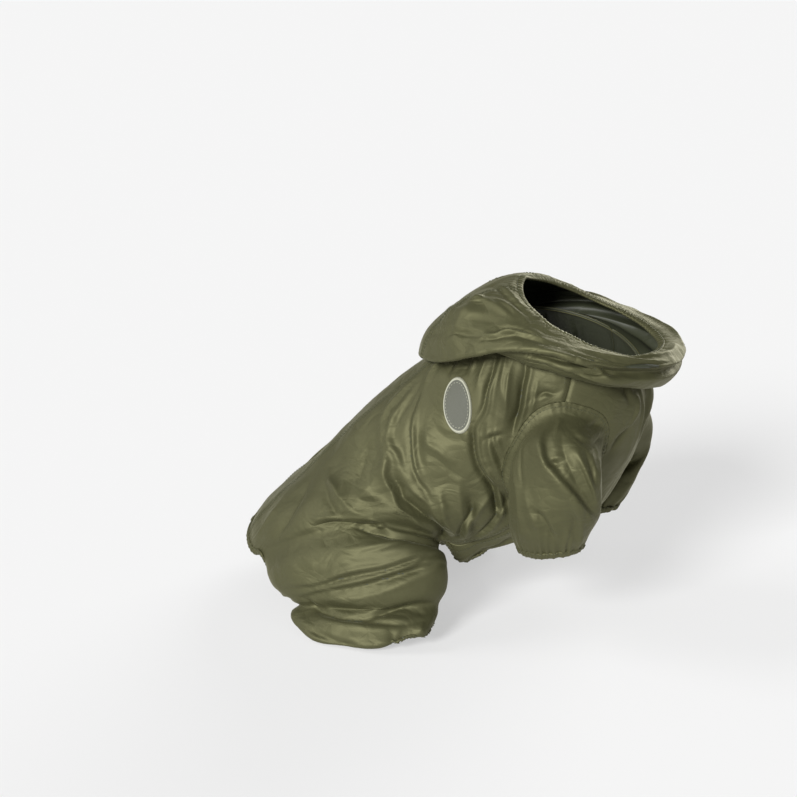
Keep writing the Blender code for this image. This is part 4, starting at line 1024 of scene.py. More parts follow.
class RAINCOAT_OT_body(bpy.types.Operator):
    """Makes the two side panels with their trouser legs"""

    bl_idname = "object.raincoat_body"
    bl_label = "Body and Legs"

    def execute(self, context):
        COAT["right"] = body_cloth(
            SIDE_RIGHT_SWELLS, SIDE_RIGHT_FOLDS, LEG_RIGHT_SWELLS, LEG_RIGHT_FOLDS, True, 11)
        COAT["left"] = body_cloth(
            SIDE_LEFT_SWELLS, SIDE_LEFT_FOLDS, LEG_LEFT_SWELLS, LEG_LEFT_FOLDS, False, 23)
        for side in ("right", "left"):
            nodes = (f"side_{side}", f"leg_{side}")
            cloth_piece(f"body_{side}", COAT[side], side == "left", nodes)
        return {"FINISHED"}


class RAINCOAT_OT_belly(bpy.types.Operator):
    """Makes the chest and belly panel"""

    bl_idname = "object.raincoat_belly"
    bl_label = "Chest and Belly"

    def execute(self, context):
        cloth = Cloth()
        seam = table(SEAM_COLUMNS, SEAM)
        down = shares_down(BELLY_ROWS, BELLY_COLUMNS)
        first = through(seam["down"], seam["around"], down)
        around = first + np.linspace(0, 1, BELLY_COLUMNS) * (360 - 2 * first)
        along = down * edge_along(around)
        cloth.add_grid("belly", body(along, around), False)
        index, _ = cloth.grids["belly"]
        folded = np.minimum(around, 360 - around)
        fade = rising(down, NECK_FADE) * rising(folded - first, BELLY_FADE)
        cloth.hold[index] = fade * off_armhole(along, folded)
        cloth.even(FORM_PASSES)
        hang(cloth, 1)
        hang(cloth, -1)
        folds(cloth, "belly", BELLY_SWELLS, BROAD)
        cloth.rise(swell(cloth.points, 31, 30, 0.5) * cloth.hold)
        folds(cloth, "belly", BELLY_FOLDS)
        small_folds(cloth, "belly", BELLY_FOLDS, 44, 32)
        cloth.even(EVEN_PASSES)
        pleat = context.scene.raincoat_sizes.gather_pleat / MM
        seam_dip(cloth, "belly", 0, SEAM_DEPTH, SEAM_WIDTH)
        seam_dip(cloth, "belly", -1, SEAM_DEPTH, SEAM_WIDTH)
        gather(cloth, "belly", True, (0, BELLY_COLUMNS), 11, 0.8, pleat, 33)
        cut_armhole(cloth, index, along, around)
        cloth.points[:, 1] *= -1
        cut_armhole(cloth, index, along, 360 - around)
        cloth.points[:, 1] *= -1
        COAT["belly"] = cloth
        cloth_piece("belly_cloth", cloth, False, ("belly",))
        return {"FINISHED"}


class RAINCOAT_OT_sleeves(bpy.types.Operator):
    """Makes the two sleeves"""

    bl_idname = "object.raincoat_sleeves"
    bl_label = "Sleeves"

    def execute(self, context):
        pleat = context.scene.raincoat_sizes.gather_pleat / MM
        for side, rings, swells, rows, seed in (
            ("right", SLEEVE_RIGHT, SLEEVE_RIGHT_SWELLS, SLEEVE_RIGHT_FOLDS, 41),
            ("left", SLEEVE_LEFT, SLEEVE_LEFT_SWELLS, SLEEVE_LEFT_FOLDS, 51),
        ):
            cloth = Cloth()
            cloth.add_grid("sleeve", sleeve_grid(rings), True)
            index, _ = cloth.grids["sleeve"]
            cloth.hold[index] = rising(shares_down(SLEEVE_ROWS, SLEEVE_COLUMNS), ROOT_FADE)
            cloth.even(FORM_PASSES)
            folds(cloth, "sleeve", swells, BROAD)
            cloth.rise(swell(cloth.points, seed, 28, 0.4) * cloth.hold)
            folds(cloth, "sleeve", rows)
            small_folds(cloth, "sleeve", rows, 46, seed + 1)
            cloth.even(EVEN_PASSES)
            gather(cloth, "sleeve", False, (0, SLEEVE_COLUMNS), 4, 0.25, pleat, seed + 2)
            gather(cloth, "sleeve", True, (0, SLEEVE_COLUMNS), 13, 1.0, pleat, seed + 3)
            COAT[f"sleeve_{side}"] = cloth
            name, nodes = f"sleeve_cloth_{side}", (f"sleeve_{side}",)
            cloth_piece(name, cloth, side == "left", nodes)
        return {"FINISHED"}


class RAINCOAT_OT_hood(bpy.types.Operator):
    """Makes the hood that lies round the neck"""

    bl_idname = "object.raincoat_hood"
    bl_label = "Hood"

    def execute(self, context):
        cloth = Cloth()
        cloth.add_grid("hood", hood_grid(), True)
        index, _ = cloth.grids["hood"]
        cloth.hold[index] = rising(1 - shares_down(HOOD_ROWS, HOOD_COLUMNS), ROOT_FADE)
        cloth.even(HOOD_PASSES)
        cloth.rise(swell(cloth.points, 61, 34, 0.5) * cloth.hold)
        seams = [(-0.9, 1.7, 1.7, 0, "both", ((.02, at), (.5, at), (.98, at)))
                 for at in (HOOD_SEAM, 1 - HOOD_SEAM)]
        folds(cloth, "hood", seams)
        folds(cloth, "hood", HOOD_FOLDS, depth=HOOD_DEPTH)
        small_folds(cloth, "hood", HOOD_FOLDS, 80, 62)
        cloth.even(EVEN_PASSES)
        pleat = context.scene.raincoat_sizes.gather_pleat / MM
        gather(cloth, "hood", False, (0, HOOD_COLUMNS), 7, 0.5, pleat, 63)
        COAT["hood"] = cloth
        cloth_piece("hood", cloth, False, ("hood_right", "hood_centre", "hood_left"))
        return {"FINISHED"}


class RAINCOAT_OT_patch(bpy.types.Operator):
    """Makes the bare oval patch with its raised edge"""

    bl_idname = "object.raincoat_patch"
    bl_label = "Oval Patch"

    def execute(self, context):
        cloth = COAT["right"]
        columns = PATCH_COLUMNS
        angle = np.linspace(0, 2 * np.pi, columns, endpoint=False)
        share = np.linspace(0, 1, PATCH_RINGS)[1:, None] ** 0.8
        under, out = patch_places(cloth, share * np.cos(angle), share * np.sin(angle))
        away = np.broadcast_to(share, under.shape[:2])
        edge = rising(away - PATCH_RIM, 1 - PATCH_RIM)
        lift = PATCH_LIFT + 0.35 * np.sin(np.pi * edge) ** 0.8 - 1.1 * edge ** 6
        top = under + out * lift[..., None]
        centre, _ = patch_places(cloth, np.zeros(1), np.zeros(1))
        skirt = under.reshape(-1, 3)[-columns:] + out * 0.15
        points = np.concatenate([centre + out * PATCH_LIFT, top.reshape(-1, 3), skirt])
        grid = np.arange(top.shape[0] * columns).reshape(-1, columns) + 1
        grid = np.concatenate([grid, np.arange(columns)[None] + 1 + grid.size])
        faces = squares(np.concatenate([grid, grid[:, :1]], axis=1))
        fan = np.stack([np.zeros(columns, int), grid[0], np.roll(grid[0], -1), np.zeros(columns, int)], 1)
        flat = np.concatenate([[[0, 0]]] + [
            np.stack([(part * np.sin(angle)).ravel() * PATCH_HALF_WIDE,
                      (part * np.cos(angle)).ravel() * PATCH_HALF_TALL], 1) for part in (share, 1.0)
        ])
        faces = np.concatenate([faces, fan])
        first, second, third = points[faces[5, :3]]
        if (np.cross(second - first, third - first) * out).sum() < 0:
            faces = faces[:, ::-1]
        corners = flat[faces].tolist()
        piece = plain_mesh("patch_face", points, faces.tolist(), False, [patch_material()], corners)
        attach(piece, "root")
        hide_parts("patch")
        ON_CLOTH.setdefault("body_right", []).append("patch_face")
        return {"FINISHED"}


def patch_places(cloth, tall_share, wide_share):
    """Places on the cloth under the patch, by shares of its half height and half width."""
    down, across, step = PATCH_DOWN, PATCH_ACROSS, 0.02
    centre = cloth.at("side", np.array(down), np.array(across))
    per_down = (cloth.at("side", np.array(down + step), np.array(across)) - centre) / step
    per_across = (cloth.at("side", np.array(down), np.array(across + step)) - centre) / step
    out = np.cross(per_down, per_across)
    out /= np.linalg.norm(out)
    tall = per_down / np.linalg.norm(per_down)
    wide = np.cross(out, tall)
    turn = np.radians(PATCH_TURN)
    tall, wide = tall * np.cos(turn) + wide * np.sin(turn), wide * np.cos(turn) - tall * np.sin(turn)
    oval = (tall_share[..., None] * tall * PATCH_HALF_TALL + wide_share[..., None] * wide * PATCH_HALF_WIDE)
    flat = oval.reshape(-1, 3)
    ways = np.linalg.pinv(np.stack([per_down, per_across], 1))
    shares, places = np.zeros((2, len(flat))), centre
    for _ in range(6):
        shares += ways @ (centre + flat - places).T
        places = cloth.at("side", down + shares[0], across + shares[1])
    return places.reshape(*oval.shape), out


class RAINCOAT_OT_hems(bpy.types.Operator):
    """Makes the elastic casings along the free edges"""

    bl_idname = "object.raincoat_hems"
    bl_label = "Elastic Casings"

    def execute(self, context):
        half = BODY_COLUMNS // 2
        whole = slice(None)
        for side in ("right", "left"):
            mirrored = side == "left"
            cloth, sleeve = COAT[side], COAT[f"sleeve_{side}"]
            rump = edge_line(cloth, "side", -1, slice(0, half + 1), -5)
            thigh = [part[::-1] for part in edge_line(cloth, "leg", 0, slice(0, half), 4)]
            line = [np.concatenate([a, b]) for a, b in zip(rump, thigh)]
            casing(f"hem_rump_{side}", f"body_{side}", line, False, mirrored, 71)
            ankle = edge_line(cloth, "leg", -1, whole, -5)
            casing(f"hem_leg_{side}", f"body_{side}", ankle, True, mirrored, 72)
            cuff = edge_line(sleeve, "sleeve", -1, whole, -5)
            casing(f"hem_cuff_{side}", f"sleeve_cloth_{side}", cuff, True, mirrored, 73)
        casing("hem_belly", "belly_cloth", edge_line(COAT["belly"], "belly", -1, whole, -5), False, False, 74)
        casing("hem_hood", "hood", edge_line(COAT["hood"], "hood", 0, whole, 5), True, False, 75)
        return {"FINISHED"}


def blurred(values, closed, passes):
    """Values along a line, evened out."""
    for _ in range(passes):
        if closed:
            values = (np.roll(values, 1, axis=0) + 2 * values + np.roll(values, -1, axis=0)) / 4
        else:
            middle = (values[:-2] + 2 * values[1:-1] + values[2:]) / 4
            values = np.concatenate([values[:1], middle, values[-1:]])
    return values


def casing(name, cloth_name, line, closed, mirrored, seed):
    """A flat, finely pleated tube of cloth round an elastic, along an edge, with the line of its seam."""
    sizes = bpy.context.scene.raincoat_sizes
    points, out, into = (blurred(np.array(part), closed, EDGE_PASSES) for part in line)
    if closed:
        points, out, into = (np.concatenate([part, part[:1]]) for part in (points, out, into))
    length = length_along(points)
    at = np.linspace(0, length[-1], int(length[-1] / CASING_STEP))
    points, out, into = (
        np.stack([np.interp(at, length, part[:, k]) for k in range(3)], -1) for part in (points, out, into))
    way = unit(np.gradient(points, axis=0))
    into = unit(into - (into * way).sum(axis=1, keepdims=True) * way)
    out = out - (out * into).sum(axis=1, keepdims=True) * into
    out = unit(out - (out * way).sum(axis=1, keepdims=True) * way)
    wave, strong, _ = pleats(at, sizes.hem_pleat / MM, np.random.default_rng(seed))
    width, cloth = sizes.hem_width / MM, sizes.cloth / MM
    section = np.linspace(0, 2 * np.pi, CASING_SIDES, endpoint=False)
    high, wide = rounded(np.degrees(section), CASING_FULLNESS)
    thick = 1.25 + 0.34 * (wave * strong)[:, None]
    up = width * (0.42 + 0.5 * high) + 0.22 * (wave * strong)[:, None] * (high < -0.5)
    ring = points[:, None] + into[:, None] * up[..., None]
    ring = ring + out[:, None] * (thick * wide - cloth / 2)[..., None]
    if closed:
        ring = ring[:-1]
    index = np.arange(ring.shape[0] * ring.shape[1]).reshape(ring.shape[:2])
    index = np.concatenate([index, index[:, :1]], axis=1)
    if closed:
        index = np.concatenate([index, index[:1]])
    faces = squares(index)
    around = np.arange(CASING_SIDES + 1.0) * CASING_FACE
    uv = squares(np.stack(np.broadcast_arrays(at[:, None], around), -1))
    caps, cap_uv = [], []
    if not closed:
        for row in (index[0, :-1], index[-1, :-1][::-1]):
            for k in range(CASING_SIDES // 2 - 1):
                caps.append((row[k], row[k + 1], row[-k - 2], row[-k - 1]))
                cap_uv.append(np.zeros((4, 2)))
    centre = ring.mean(axis=1, keepdims=True)
    flat = ring.reshape(-1, 3)
    sample = faces[len(faces) // 2]
    normal = np.cross(flat[sample[2]] - flat[sample[0]], flat[sample[3]] - flat[sample[1]])
    middle = centre[min(sample[0] // CASING_SIDES, len(centre) - 1), 0]
    if (normal * (flat[sample[0]] - middle)).sum() < 0:
        faces, uv = faces[:, ::-1], uv[:, ::-1]
        caps = [tuple(reversed(cap)) for cap in caps]
    if caps:
        faces = np.concatenate([faces, np.array(caps)])
        uv = np.concatenate([uv, np.array(cap_uv)])
    piece = plain_mesh(name, flat, faces.tolist(), mirrored, [cloth_material()], uv.tolist())
    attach(piece, "root")
    ON_CLOTH.setdefault(cloth_name, []).append(name)
    seam = points + into * width * CASING_SEWN_AT + out * CASING_SEWN_UP
    SEWING.setdefault(cloth_name, []).append((seam, out, mirrored))


# Sewing.

def stitch_tree():
    """A geometry tree that sews stitches along lines whose points carry the cloth's outward direction."""
    if "Stitches" in bpy.data.node_groups:
        return bpy.data.node_groups["Stitches"]
    tree = bpy.data.node_groups.new("Stitches", "GeometryNodeTree")
    face = tree.interface
    face.new_socket("Geometry", in_out="INPUT", socket_type="NodeSocketGeometry")
    for name, value in (("Pitch", 0.0027), ("Length", 0.0021), ("Thickness", 0.00045)):
        socket = face.new_socket(name, in_out="INPUT", socket_type="NodeSocketFloat")
        socket.default_value = value
    face.new_socket("Material", in_out="INPUT", socket_type="NodeSocketMaterial")
    face.new_socket("Geometry", in_out="OUTPUT", socket_type="NodeSocketGeometry")
    nodes = tree.nodes
    start, end = nodes.new("NodeGroupInput"), nodes.new("NodeGroupOutput")
    curve = nodes.new("GeometryNodeMeshToCurve")
    even = nodes.new("GeometryNodeResampleCurve")
    even.mode = "LENGTH"
    stitch = nodes.new("GeometryNodeMeshUVSphere")
    stitch.inputs["Segments"].default_value = 6
    stitch.inputs["Rings"].default_value = 4
    stitch.inputs["Radius"].default_value = 0.5
    size = nodes.new("ShaderNodeCombineXYZ")
    outward = nodes.new("GeometryNodeInputNamedAttribute")
    outward.data_type = "FLOAT_VECTOR"
    outward.inputs["Name"].default_value = "outward"
    tangent = nodes.new("GeometryNodeInputTangent")
    along = nodes.new("FunctionNodeAlignRotationToVector")
    along.axis = "X"
    up = nodes.new("FunctionNodeAlignRotationToVector")
    up.axis = "Z"
    up.pivot_axis = "X"
    place = nodes.new("GeometryNodeInstanceOnPoints")
    real = nodes.new("GeometryNodeRealizeInstances")
    smooth = nodes.new("GeometryNodeSetShadeSmooth")
    finish = nodes.new("GeometryNodeSetMaterial")
    for giver, given, taker, taken in (
        (start, "Geometry", curve, "Mesh"), (curve, "Curve", even, "Curve"), (start, "Pitch", even, "Length"),
        (even, "Curve", place, "Points"), (stitch, "Mesh", place, "Instance"), (start, "Length", size, "X"),
        (start, "Thickness", size, "Y"), (start, "Thickness", size, "Z"), (size, "Vector", place, "Scale"),
        (tangent, "Tangent", along, "Vector"), (along, "Rotation", up, "Rotation"),
        (outward, "Attribute", up, "Vector"), (up, "Rotation", place, "Rotation"),
        (place, "Instances", real, "Geometry"), (real, "Geometry", smooth, "Geometry"),
        (smooth, "Geometry", finish, "Geometry"), (start, "Material", finish, "Material"),
        (finish, "Geometry", end, "Geometry"),
    ):
        tree.links.new(giver.outputs[given], taker.inputs[taken])
    return tree


def sewn(name, cloth_name, lines, material, scale=1.0):
    """Stitches along lines of points and outward directions, given in the upright coat."""
    sizes = bpy.context.scene.raincoat_sizes
    points, edges, ways = [], [], []
    for line, out, mirrored in lines:
        line, out = np.array(line, float), np.array(out, float)
        tips = line + out
        if mirrored:
            line, tips = line * [1, -1, 1], tips * [1, -1, 1]
        start = sum(map(len, points))
        at, tip = turned(line) * MM, turned(tips) * MM
        way = (tip - at) / np.linalg.norm(tip - at, axis=1, keepdims=True)
        points.append(at + way * sizes.thread * 0.25)
        ways.append(way)
        edges += [(start + k, start + k + 1) for k in range(len(line) - 1)]
    mesh = bpy.data.meshes.new(name)
    mesh.from_pydata(np.concatenate(points).tolist(), edges, [])
    attribute = mesh.attributes.new("outward", "FLOAT_VECTOR", "POINT")
    attribute.data.foreach_set("vector", np.concatenate(ways).astype(np.float32).ravel())
    guide = bpy.data.objects.new(f"{name}_guide", mesh)
    bpy.context.scene.collection.objects.link(guide)
    tree = stitch_tree()
    modifier = guide.modifiers.new("stitches", "NODES")
    modifier.node_group = tree
    keys = {item.name: item.identifier for item in tree.interface.items_tree if item.in_out == "INPUT"}
    modifier[keys["Pitch"]] = sizes.stitch_pitch * scale
    modifier[keys["Length"]] = sizes.stitch * scale
    modifier[keys["Thickness"]] = sizes.thread * scale
    modifier[keys["Material"]] = material
    evaluated = guide.evaluated_get(bpy.context.evaluated_depsgraph_get())
    made = bpy.data.meshes.new_from_object(evaluated)
    made.name = name
    for attribute in [a for a in made.attributes if a.name == "outward"]:
        made.attributes.remove(attribute)
    bpy.data.objects.remove(guide)
    piece = bpy.data.objects.new(name, made)
    bpy.context.scene.collection.objects.link(piece)
    if not made.materials:
        raise RuntimeError(f"{name} has no stitches")
    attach(piece, "root")
    ON_CLOTH.setdefault(cloth_name, []).append(name)


def path_on(cloth, name, path, lift, count=260):
    """A smooth line on a piece of cloth with its outward directions."""
    places = smooth_path(path, count)
    line = cloth.at(name, places[:, 0], places[:, 1])
    way = cloth.at(name, places[:, 0], places[:, 1], cloth.normals())
    way = unit(blurred(way, False, 6))
    return line + way * lift, way


BACK_SEAM = ((.02, .22), (.20, .21), (.35, .19), (.49, .14), (.61, .13), (.84, .15), (.985, .20))
BACK_SEAM_GAP = 0.022
SIDE_SEAM = (((.02, .975), (.08, .975), (.14, .975)), ((.66, .975), (.80, .975), (.96, .975)))
BELLY_SEAM = (((.70, .03), (.82, .03), (.95, .03)), ((.70, .97), (.82, .97), (.95, .97)))
CAP_SEAM = tuple((.035, share) for share in np.linspace(0, 1, 17))
HOOD_SEAM = HOOD_STRIP / 360
HOOD_SEAM_GAP = 0.005


class RAINCOAT_OT_stitching(bpy.types.Operator):
    """Sews the seams, the hems and the patch"""

    bl_idname = "object.raincoat_stitching"
    bl_label = "Stitching"

    def execute(self, context):
        for side in ("right", "left"):
            mirrored = side == "left"
            back = [[(down, across + gap) for down, across in BACK_SEAM] for gap in (0.0, BACK_SEAM_GAP)]
            for path in (*back, *SIDE_SEAM):
                SEWING[f"body_{side}"].append((*path_on(COAT[side], "side", path, SEAM_LIFT), mirrored))
            cap = path_on(COAT[f"sleeve_{side}"], "sleeve", CAP_SEAM, SEAM_LIFT)
            SEWING[f"sleeve_cloth_{side}"].append((*cap, mirrored))
        for path in BELLY_SEAM:
            SEWING["belly_cloth"].append((*path_on(COAT["belly"], "belly", path, SEAM_LIFT), False))
        for seam in (HOOD_SEAM, 1 - HOOD_SEAM):
            for across in (seam - HOOD_SEAM_GAP, seam + HOOD_SEAM_GAP):
                path = [(down, across) for down in np.linspace(0.05, 0.97, 12)]
                SEWING["hood"].append((*path_on(COAT["hood"], "hood", path, SEAM_LIFT, 500), False))
        for cloth_name, lines in SEWING.items():
            sewn(f"stitching_{cloth_name}", cloth_name, lines, fabric_material("coat_thread", "thread"))
        angle = np.linspace(0, 2 * np.pi, 181)
        tall, wide = PATCH_SEWN_AT * np.cos(angle), PATCH_SEWN_AT * np.sin(angle)
        line, out = patch_places(COAT["right"], tall, wide)
        lines = [(line + out * PATCH_LIFT, np.broadcast_to(out, line.shape), False)]
        sewn("patch_stitching", "body_right", lines, fabric_material("patch_thread", "patch_edge"), 0.9)
        return {"FINISHED"}


class RAINCOAT_OT_sheets(bpy.types.Operator):
    """Does nothing; it only returns that it has finished"""

    bl_idname = "object.raincoat_sheets"
    bl_label = "Cut Sizes"

    def execute(self, context):
        return {"FINISHED"}


# Finishes.

def node(tree, kind, **values):
    """Adds a node and sets its properties and its input values."""
    made = tree.nodes.new(kind)
    for key, value in values.items():
        if key in made.inputs:
            made.inputs[key].default_value = value
        else:
            setattr(made, key, value)
    return made


def sums(tree, operation, *values, kind="ShaderNodeMath"):
    """Adds a maths node and gives its output. Each value is a number, a vector, a socket or None."""
    made = node(tree, kind, operation=operation)
    for socket, value in zip(made.inputs, values):
        if isinstance(value, bpy.types.NodeSocket):
            tree.links.new(value, socket)
        elif value is not None:
            socket.default_value = value
    return made.outputs[0]


def ranged(tree, value, *ends):
    """Takes a value from one range to another: the ends of the first, then those of the second."""
    made = node(tree, "ShaderNodeMapRange", **dict(zip(("From Min", "From Max", "To Min", "To Max"), ends)))
    tree.links.new(value, made.inputs["Value"])
    return made.outputs["Result"]


def group(name, inputs, outputs):
    """A new shader node group with its sockets, and its input and output nodes."""
    tree = bpy.data.node_groups.new(name, "ShaderNodeTree")
    for socket, kind, value in inputs:
        made = tree.interface.new_socket(socket, in_out="INPUT", socket_type=kind)
        if value is not None:
            made.default_value = value
    for socket, kind in outputs:
        tree.interface.new_socket(socket, in_out="OUTPUT", socket_type=kind)
    return tree, tree.nodes.new("NodeGroupInput"), tree.nodes.new("NodeGroupOutput")


def weave_group():
    """A plain weave: fine crossing threads with small unevenness."""
    if "Weave" in bpy.data.node_groups:
        return bpy.data.node_groups["Weave"]
    tree, start, end = group(
        "Weave",
        [("Vector", "NodeSocketVector", None), ("Threads per Metre", "NodeSocketFloat", 3000.0)],
        [("Height", "NodeSocketFloat"), ("Shade", "NodeSocketFloat")],
    )
    threads = start.outputs["Threads per Metre"]
    scaled = sums(tree, "SCALE", start.outputs["Vector"], None, None, threads, kind="ShaderNodeVectorMath")
    apart = node(tree, "ShaderNodeSeparateXYZ")
    tree.links.new(scaled, apart.inputs[0])
    waves = [sums(tree, "SINE", sums(tree, "MULTIPLY", apart.outputs[axis], math.pi)) for axis in ("X", "Y")]
    uneven = node(tree, "ShaderNodeTexNoise", Scale=1.7, Detail=2.0)
    tree.links.new(scaled, uneven.inputs["Vector"])
    height = sums(tree, "MULTIPLY_ADD", sums(tree, "MULTIPLY", *waves), 0.5, uneven.outputs["Fac"])
    tree.links.new(height, end.inputs["Height"])
    tree.links.new(uneven.outputs["Fac"], end.inputs["Shade"])
    return tree


def wrinkle_group():
    """Small sharp creases between flat facets, longer one way, which come and go over the cloth."""
    if "Wrinkles" in bpy.data.node_groups:
        return bpy.data.node_groups["Wrinkles"]
    tree, start, end = group(
        "Wrinkles",
        [("Vector", "NodeSocketVector", None), ("Creases per Metre", "NodeSocketFloat", 42.0)],
        [("Height", "NodeSocketFloat"), ("Shade", "NodeSocketFloat")],
    )
    links = tree.links
    bend = node(tree, "ShaderNodeTexNoise", Scale=30.0, Detail=1.0)
    links.new(start.outputs["Vector"], bend.inputs["Vector"])
    bent = sums(tree, "MULTIPLY_ADD", bend.outputs["Color"], (0.03, 0.03, 0.03), start.outputs["Vector"],
                kind="ShaderNodeVectorMath")
    long = node(tree, "ShaderNodeMapping", Scale=(0.55, 1.0, 1.25), Rotation=(0.0, -0.75, 0.0))
    links.new(bent, long.inputs["Vector"])
    total = None
    for share, times in ((1.0, 1.0), (0.36, 2.6)):
        cells = node(tree, "ShaderNodeTexVoronoi", feature="DISTANCE_TO_EDGE")
        links.new(long.outputs["Vector"], cells.inputs["Vector"])
        links.new(sums(tree, "MULTIPLY", start.outputs["Creases per Metre"], times), cells.inputs["Scale"])
        flat = sums(tree, "SMOOTH_MIN", cells.outputs["Distance"], 0.30, 0.10)
        total = sums(tree, "MULTIPLY_ADD", flat, share, total)
    ridges = node(tree, "ShaderNodeTexNoise", noise_type="RIDGED_MULTIFRACTAL", Scale=38.0, Detail=2.0)
    links.new(long.outputs["Vector"], ridges.inputs["Vector"])
    sharp = sums(tree, "MULTIPLY_ADD", ridges.outputs["Fac"], 0.10, total)
    broad = node(tree, "ShaderNodeTexNoise", Scale=16.0, Detail=1.0)
    links.new(start.outputs["Vector"], broad.inputs["Vector"])
    where = ranged(tree, broad.outputs["Fac"], 0.35, 0.65, 0.15, 1.0)
    links.new(sums(tree, "MULTIPLY", sharp, where), end.inputs["Height"])
    links.new(broad.outputs["Fac"], end.inputs["Shade"])
    return tree


FABRIC_COLUMNS = ("roughness", "sheen", "weave_depth", "wrinkle_depth", "threads", "contrast")
FABRICS = {
    "rain_cloth": (0.54, 0.12, 0.00003, 0.0027, 3200.0, 0.12),
    "coated_inside": (0.55, 0.0, 0.00001, 0.0020, 3200.0, 0.08),
    "coat_thread": (0.5, 0.1, 0.00003, 0.0001, 5000.0, 0.05),
    "patch_thread": (0.5, 0.1, 0.00003, 0.0001, 5000.0, 0.05),
    "patch_weave": (0.55, 0.05, 0.00022, 0.0001, 1300.0, 0.05),
}


def base_material(name, colour, roughness):
    """A new material and its shader, with the plain values set on its own sockets."""
    made = bpy.data.materials.new(name)
    made.use_nodes = True
    shader = made.node_tree.nodes["Principled BSDF"]
    shader.inputs["Base Color"].default_value = colour
    shader.inputs["Roughness"].default_value = roughness
    return made, shader


def place_group(tree, source):
    """Adds a node group to a material."""
    made = tree.nodes.new("ShaderNodeGroup")
    made.node_tree = source
    return made


def fabric(name, colour_name):
    """Woven cloth with small wrinkles, on its own UV map and Object coordinates."""
    finish = dict(zip(FABRIC_COLUMNS, FABRICS[name], strict=True))
    colour = tuple(getattr(bpy.context.scene.raincoat_colours, colour_name))
    made, shader = base_material(name, colour, finish["roughness"])
    tree = made.node_tree
    links = tree.links
    where = tree.nodes.new("ShaderNodeTexCoord")
    weave = place_group(tree, weave_group())
    weave.inputs["Threads per Metre"].default_value = finish["threads"]
    links.new(where.outputs["UV"], weave.inputs["Vector"])
    wrinkles = place_group(tree, wrinkle_group())
    links.new(where.outputs["Object"], wrinkles.inputs["Vector"])
    contrast = finish["contrast"]
    tint = ranged(tree, wrinkles.outputs["Shade"], 0.3, 0.7, 1 - contrast, 1 + contrast)
    shade = sums(tree, "SCALE", colour[:3], None, None, tint, kind="ShaderNodeVectorMath")
    links.new(shade, shader.inputs["Base Color"])
    big = node(tree, "ShaderNodeBump", Strength=1.0, Distance=finish["wrinkle_depth"])
    links.new(wrinkles.outputs["Height"], big.inputs["Height"])
    fine = node(tree, "ShaderNodeBump", Strength=0.6, Distance=finish["weave_depth"])
    links.new(weave.outputs["Height"], fine.inputs["Height"])
    links.new(big.outputs["Normal"], fine.inputs["Normal"])
    links.new(fine.outputs["Normal"], shader.inputs["Normal"])
    shader.inputs["Sheen Weight"].default_value = finish["sheen"]
    shader.inputs["Sheen Roughness"].default_value = 0.35
    shader.inputs["Sheen Tint"].default_value = (0.75, 0.74, 0.52, 1)
    return made, shader


def fabric_material(name, colour_name):
    """A plain fabric by name, made once."""
    return bpy.data.materials.get(name) or fabric(name, colour_name)[0]


def cloth_material():
    """The coat's satin rain cloth."""
    if "rain_cloth" in bpy.data.materials:
        return bpy.data.materials["rain_cloth"]
    made, shader = fabric("rain_cloth", "cloth")
    shader.inputs["Specular IOR Level"].default_value = 0.5
    shader.inputs["Specular Tint"].default_value = (1.0, 0.94, 0.62, 1)
    shader.inputs["Metallic"].default_value = 0.35
    return made


def patch_material():
    """The patch's woven middle and its light bound edge."""
    made, shader = fabric("patch_weave", "patch")
    tree = made.node_tree
    links = tree.links
    where = tree.nodes.new("ShaderNodeTexCoord")
    oval = node(tree, "ShaderNodeMapping", Scale=(1000 / PATCH_HALF_WIDE, 1000 / PATCH_HALF_TALL, 1))
    links.new(where.outputs["UV"], oval.inputs["Vector"])
    away = node(tree, "ShaderNodeVectorMath", operation="LENGTH")
    links.new(oval.outputs["Vector"], away.inputs[0])
    edge = ranged(tree, away.outputs["Value"], *PATCH_EDGE_AT)
    pick = node(tree, "ShaderNodeMix", data_type="RGBA")
    links.new(edge, pick.inputs["Factor"])
    links.new(shader.inputs["Base Color"].links[0].from_socket, pick.inputs["A"])
    pick.inputs["B"].default_value = tuple(bpy.context.scene.raincoat_colours.patch_edge)
    links.new(pick.outputs["Result"], shader.inputs["Base Color"])
    return made


# The stage.

CAMERA_PLACE = (0.34694, -1.22776, 0.33730)
CAMERA_RIGHT = (0.95106, 0.30902, 0.0)
CAMERA_UP = (-0.09035, 0.27806, 0.95630)
CAMERA_BACK = (0.29551, -0.90950, 0.29237)
CAMERA_LENS = 80.235
FLOOR_Z, FLOOR_REACH = -0.2087, 9.0
FLOOR_GLOW = 0.50  # of a floor lit from within, which keeps the shadows faint
WORLD_LIGHT = 0.19  # of the room
WALL_SEEN = 0.92  # of the room's pale wall, as it is seen past the floor
LIGHTS = (  # name, azimuth, elevation, softness in degrees, strength
    ("key", -12, 27, 20, 4.0), ("side", -80, 36, 30, 0.9), ("back", 165, 20, 40, 2.0),
)


